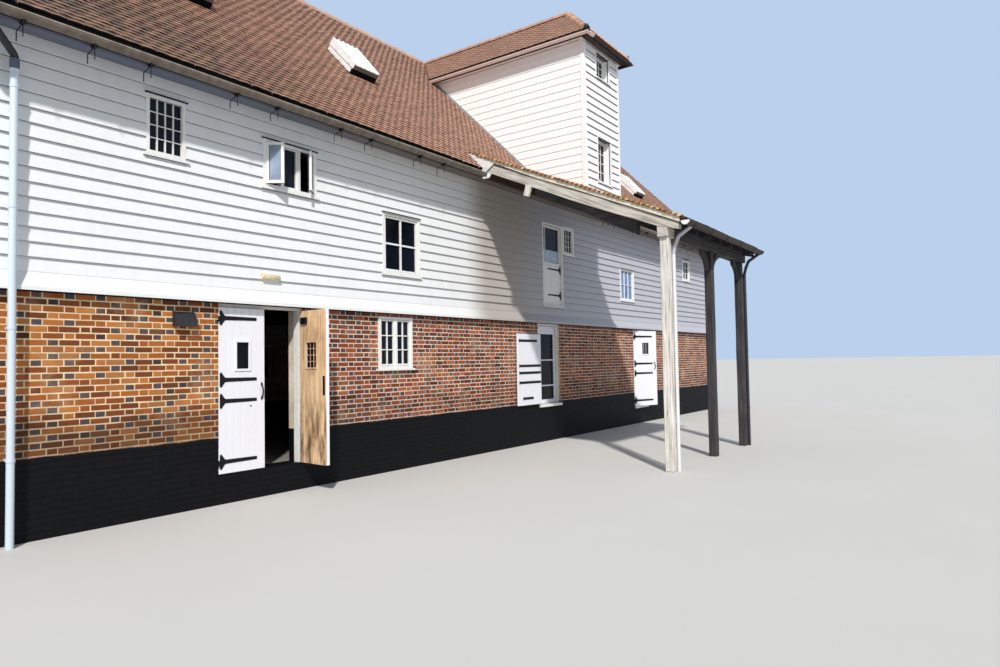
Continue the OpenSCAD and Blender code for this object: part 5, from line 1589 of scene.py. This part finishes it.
def make_rooflights():
    """White kerbs, ribbed lids that rise to their heads, and dark strips of painted shade under their lips,
    between the ribs' heads and beside the kerbs.
    """
    white, dark, lip, w, long = Shape(), Shape(), Shape(), ROOFLIGHT_W, ROOFLIGHT_LONG
    low_z, high_z, rib = 0.215, 0.27, 0.03
    for s, low in ROOFLIGHTS:
        white.place = dark.place = lip.place = (
            Matrix.Translation((station(s), FRONT, ROOF_Z)) @ Matrix.Rotation(math.pi / 4, 4, "X")
            @ Matrix.Translation((0, low, 0)))
        white.box((0.012, 0.04, -0.06), (w - 0.012, long - 0.012, 0.112), 0.003)
        white.prism([(0.0, 0.122), (long, 0.122), (long, high_z), (0.0, low_z)], "X", 0.0, w, 0.004)
        for k in range(6):
            x = (w - rib) * k / 5
            white.prism([(-0.004, low_z - 0.01), (long + 0.004, high_z - 0.01),
                         (long + 0.004, high_z + 0.02), (-0.004, low_z + 0.02)], "X", x, x + rib, 0.005)
        # Painted shade: the dark gap under the lip, the gaps between the ribs' heads and the lines beside the
        # kerb.
        dark.box((0.004, -0.012, 0.012), (w - 0.004, 0.039, 0.1215), 0.002)
        for k in range(5):
            x = 0.036 + (w - rib) * k / 5
            dark.box((x + rib, long - 0.004, high_z - 0.012), (x + 0.07, long + 0.003, high_z + 0.004))
        for x in (-0.034, w + 0.002):
            dark.box((x, -0.05, 0.014), (x + 0.032, long + 0.03, 0.026), 0.003)
        # The lip is grey-brown as painted shade on its white paint.
        lip.box((0.0, -0.012, 0.125), (w, -0.001, 0.206), 0.002)
    white.piece("rooflight_lids", "lid", replaced=("rooflights",))
    dark.piece("rooflight_gaps", "gap")
    lip.piece("rooflight_lips", "lip")


def make_lamps():
    """A cream bulkhead light on the boards and a black one on the bricks."""
    left, right, low, high = station(3.65), station(3.97), 3.11, 3.2
    base, cover, shell = Shape(), Shape(), Shape()
    base.box((left, FRONT - 0.03, low), (right, FRONT - 0.0005, high), 0.006)
    base.piece("board_lamp_base", "cream", replaced=("lamps",))
    half = ((0.03, 0.006), (0.075, 0.012), (0.088, 0.03))
    cover.prism([(FRONT - out, low + z) for out, z in half]
                + [(FRONT - out, high - z) for out, z in half[::-1]], "X", left + 0.008, right - 0.008, 0.008)
    cover.piece("board_lamp_cover", "cream", smooth=40)
    left, foot, deep, tall = station(2.35), BRICK_TOP - 0.35, 0.11, 0.2
    turns = [math.pi * k / 20 for k in range(11)]
    for a, b, inward in ((0.0, 0.012, 1.0), (0.012, 0.268, 0.96), (0.268, 0.28, 1.0)):
        shell.prism([(FRONT - 0.001, foot)] + [
            (FRONT - 0.001 + (0.001 - deep * math.cos(t)) * inward, foot + tall * math.sin(t) * inward)
            for t in turns], "X", left + a, left + b)
    shell.piece("brick_lamp_shell", "black_shell")


NODE_FINISHES = {
    "concrete": "ground_floor",
    "mortar": "footing front_brick_wall_left front_brick_wall_middle back_brick_wall "
              "front_brick_wall_shaded front_brick_wall_right left_brick_gable right_brick_gable",
    "boards": "front_boarded_wall back_boarded_wall left_boarded_gable right_boarded_gable "
              "tower_walls canopy_cheek",
    "bedding": "front_roof back_roof tower_roof canopy_roof", "lime": "ridge",
    "soffit_paint": "soffits", "floor_wood": "first_floor attic_floor",
    "gloss": "door_frames door_sills front_windows open_window rear_windows loading_door",
    "iron": "door_pintles", "glass": "window_glass", "gutter": "gutters",
    "dark_oak": "canopy_rafters",
}


def paint_frame():
    for name, nodes in NODE_FINISHES.items():
        for node in nodes.split():
            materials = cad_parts[node].data.materials
            materials.clear()
            materials.append(finish(name))


# The floor, the light and the camera


def make_stage():
    """The pale floor, the soft light and the camera of the view from the left."""
    scene = bpy.context.scene
    sizes, colours = scene.mill_sizes, scene.mill_colours
    floor = Shape()
    floor.turned([(0.0, 0.0), (600.0, 0.0), (600.0, -0.02), (0.0, -0.02)], 96)
    mesh = floor.finish()
    mesh.materials.append(finish("floor"))
    ground = bpy.data.objects.new("ground", mesh)
    link(ground)
    ground.location.z = -0.001
    lamp = bpy.data.lights.new("key", "SUN")
    lamp.energy, lamp.angle = sizes.key_light, math.radians(sizes.key_softness)
    lamp.color = (1.0, 0.97, 0.92)
    key = bpy.data.objects.new("key", lamp)
    link(key)
    key.rotation_mode = "QUATERNION"
    key.rotation_quaternion = Vector((1.1, 1.0, -1.3)).to_track_quat("-Z", "Y")
    scene.world = bpy.data.worlds.new("studio")
    scene.world.use_nodes = True
    net = Net(scene.world.node_tree)
    net.tree.nodes.clear()
    path = net.node("ShaderNodeLightPath", {}, {}, "Is Camera Ray")
    seen = path.sum("MAXIMUM", path.other("Is Glossy Ray")).sum("MAXIMUM", path.other("Is Transmission Ray"))
    fill, sky = (net.node("ShaderNodeBackground", {}, {"Color": (*colour, 1), "Strength": strength})
                 for colour, strength in (((0.76, 0.87, 1.0), sizes.fill_light), (colours.backdrop, 1.0)))
    net.end("ShaderNodeOutputWorld", net.node("ShaderNodeMixShader", {}, {0: seen, 1: fill, 2: sky}))
    camera = bpy.data.cameras.new("camera")
    camera.lens, camera.sensor_width, camera.clip_end = 25.14, 36.0, 1500.0
    eye = bpy.data.objects.new("camera", camera)
    link(eye)
    turn, rise, roll = math.radians(35.56), math.radians(2.25), math.radians(-0.97)
    ahead = Vector((math.cos(turn) * math.cos(rise), math.sin(turn) * math.cos(rise), math.sin(rise)))
    flat = Vector((math.sin(turn), -math.cos(turn), 0))
    right = flat * math.cos(roll) + flat.cross(ahead) * math.sin(roll)
    eye.matrix_world = Matrix.LocRotScale(
        (-13.85, -12.55, 1.88), Matrix((right, right.cross(ahead), -ahead)).transposed(), None)
    scene.camera = eye
    scene.view_settings.view_transform = "Standard"


# What a user may change, and the steps


def metres(name, default, description):
    return FloatProperty(name=name, default=default, min=0.0, unit="LENGTH", precision=3,
                         description=description)


def paint(name, default, description):
    return FloatVectorProperty(name=name, default=default[:3], size=3, min=0.0, max=1.0,
                               subtype="COLOR", description=description)


class MillSizes(bpy.types.PropertyGroup):
    board_step: metres("Board step", 0.1659, "Height of each weatherboard that shows")
    board_foot: metres("Board foot", 0.034, "Thickness of a weatherboard at its lower edge")
    course: metres("Brick course", 0.0761, "Height of one course of bricks with its joint")
    joint: metres("Mortar joint", 0.013, "Width of the joints between bricks")
    stretcher: metres("Stretcher", 0.2125, "Length of a brick laid along the wall")
    tar_top: metres("Top of the tar", 0.9, "Height of the tarred foot of the walls")
    tile_wide: metres("Tile width", 0.165, "Width of one roof tile")
    tile_gauge: metres("Tile gauge", 0.1, "Length of each tile that shows")
    key_light: FloatProperty(name="Key light", default=3.45, min=0.0, description="Strength of the key light")
    key_softness: FloatProperty(name="Key softness", default=2.5, min=0.0,
                                description="Angle across the key light in degrees")
    fill_light: FloatProperty(name="Fill light", default=0.43, min=0.0, max=1.0,
                              description="Strength of the light from all round")


class MillColours(bpy.types.PropertyGroup):
    boards: paint("Boards", tone(240, 241, 242), "Paint of the weatherboards")
    trim: paint("Trim", tone(240, 240, 238), "Gloss paint of doors, frames and bargeboards")
    backdrop: paint("Backdrop", tone(186, 208, 236), "Colour behind the building")


class Step:
    """One step of the work, which calls its own maker."""

    def execute(self, context):
        self.make()
        return {"FINISHED"}


class MILL_OT_paint_frame(Step, bpy.types.Operator):
    """Give every kept part of the frame its finish"""
    bl_idname, bl_label, make = "mill.paint_frame", "Paint the frame", staticmethod(paint_frame)


class MILL_OT_boards(Step, bpy.types.Operator):
    """Lay the weatherboards on the walls and the tower"""
    bl_idname, bl_label, make = "mill.boards", "Weatherboards", staticmethod(make_boards)


class MILL_OT_bricks(Step, bpy.types.Operator):
    """Lay the brick storey in Flemish bond"""
    bl_idname, bl_label, make = "mill.bricks", "Bricks", staticmethod(make_bricks)


class MILL_OT_tiles(Step, bpy.types.Operator):
    """Hang the tiles on every slope"""
    bl_idname, bl_label, make = "mill.tiles", "Roof tiles", staticmethod(make_tiles)


class MILL_OT_ridges(Step, bpy.types.Operator):
    """Bed the half-round tiles on ridges and hips"""
    bl_idname, bl_label, make = "mill.ridges", "Ridge and hip tiles", staticmethod(make_ridges)


class MILL_OT_trim(Step, bpy.types.Operator):
    """Nail up corner boards, foot boards, fascias, bargeboards and lead"""
    bl_idname, bl_label, make = "mill.trim", "Trim and lead", staticmethod(make_trim)


class MILL_OT_windows(Step, bpy.types.Operator):
    """Put sashes and glazing bars into the windows"""
    bl_idname, bl_label, make = "mill.windows", "Windows", staticmethod(make_windows)


class MILL_OT_doors(Step, bpy.types.Operator):
    """Build the boarded and glazed door leaves with their irons"""
    bl_idname, bl_label, make = "mill.doors", "Door leaves", staticmethod(make_doors)


class MILL_OT_loading_door(Step, bpy.types.Operator):
    """Face the loading door with boards and straps"""
    bl_idname, bl_label, make = "mill.loading_door", "Loading door", staticmethod(make_loading_door)


class MILL_OT_canopy(Step, bpy.types.Operator):
    """Shape the canopy's old timbers and its edge boards"""
    bl_idname, bl_label, make = "mill.canopy", "Canopy timbers", staticmethod(make_canopy)


class MILL_OT_drainage(Step, bpy.types.Operator):
    """Add the brackets of the gutters and the clips of the pipes"""
    bl_idname, bl_label, make = "mill.drainage", "Brackets and clips", staticmethod(make_drainage)


class MILL_OT_rooflights(Step, bpy.types.Operator):
    """Make the lids and kerbs of the rooflights"""
    bl_idname, bl_label, make = "mill.rooflights", "Rooflights", staticmethod(make_rooflights)


class MILL_OT_lamps(Step, bpy.types.Operator):
    """Model the two wall lights"""
    bl_idname, bl_label, make = "mill.lamps", "Wall lights", staticmethod(make_lamps)


class MILL_OT_stage(Step, bpy.types.Operator):
    """Set up the floor, the light and the camera"""
    bl_idname, bl_label, make = "mill.stage", "Stage", staticmethod(make_stage)


STEPS = (MILL_OT_paint_frame, MILL_OT_boards, MILL_OT_bricks, MILL_OT_tiles, MILL_OT_ridges,
         MILL_OT_trim, MILL_OT_windows, MILL_OT_doors, MILL_OT_loading_door, MILL_OT_canopy,
         MILL_OT_drainage, MILL_OT_rooflights, MILL_OT_lamps, MILL_OT_stage)


class MILL_PT_panel(bpy.types.Panel):
    """Sizes, colours and steps of the mill"""
    bl_label = "Mill"
    bl_idname = "MILL_PT_panel"
    bl_space_type = "VIEW_3D"
    bl_region_type = "UI"
    bl_category = "Mill"

    def draw(self, context):
        for group in (context.scene.mill_sizes, context.scene.mill_colours):
            box = self.layout.box()
            for key in group.bl_rna.properties.keys():
                if key not in ("rna_type", "name"):
                    box.prop(group, key)
        for operator in STEPS:
            self.layout.operator(operator.bl_idname)


CLASSES = (MillSizes, MillColours, *STEPS, MILL_PT_panel)


def register():
    for cls in CLASSES:
        bpy.utils.register_class(cls)
    bpy.types.Scene.mill_sizes = PointerProperty(type=MillSizes)
    bpy.types.Scene.mill_colours = PointerProperty(type=MillColours)


def unregister():
    del bpy.types.Scene.mill_colours
    del bpy.types.Scene.mill_sizes
    for cls in reversed(CLASSES):
        bpy.utils.unregister_class(cls)


def main():
    register()
    for operator in STEPS:
        group, name = operator.bl_idname.split(".")
        getattr(getattr(bpy.ops, group), name)()
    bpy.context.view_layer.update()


if __name__ == "__main__":
    main()
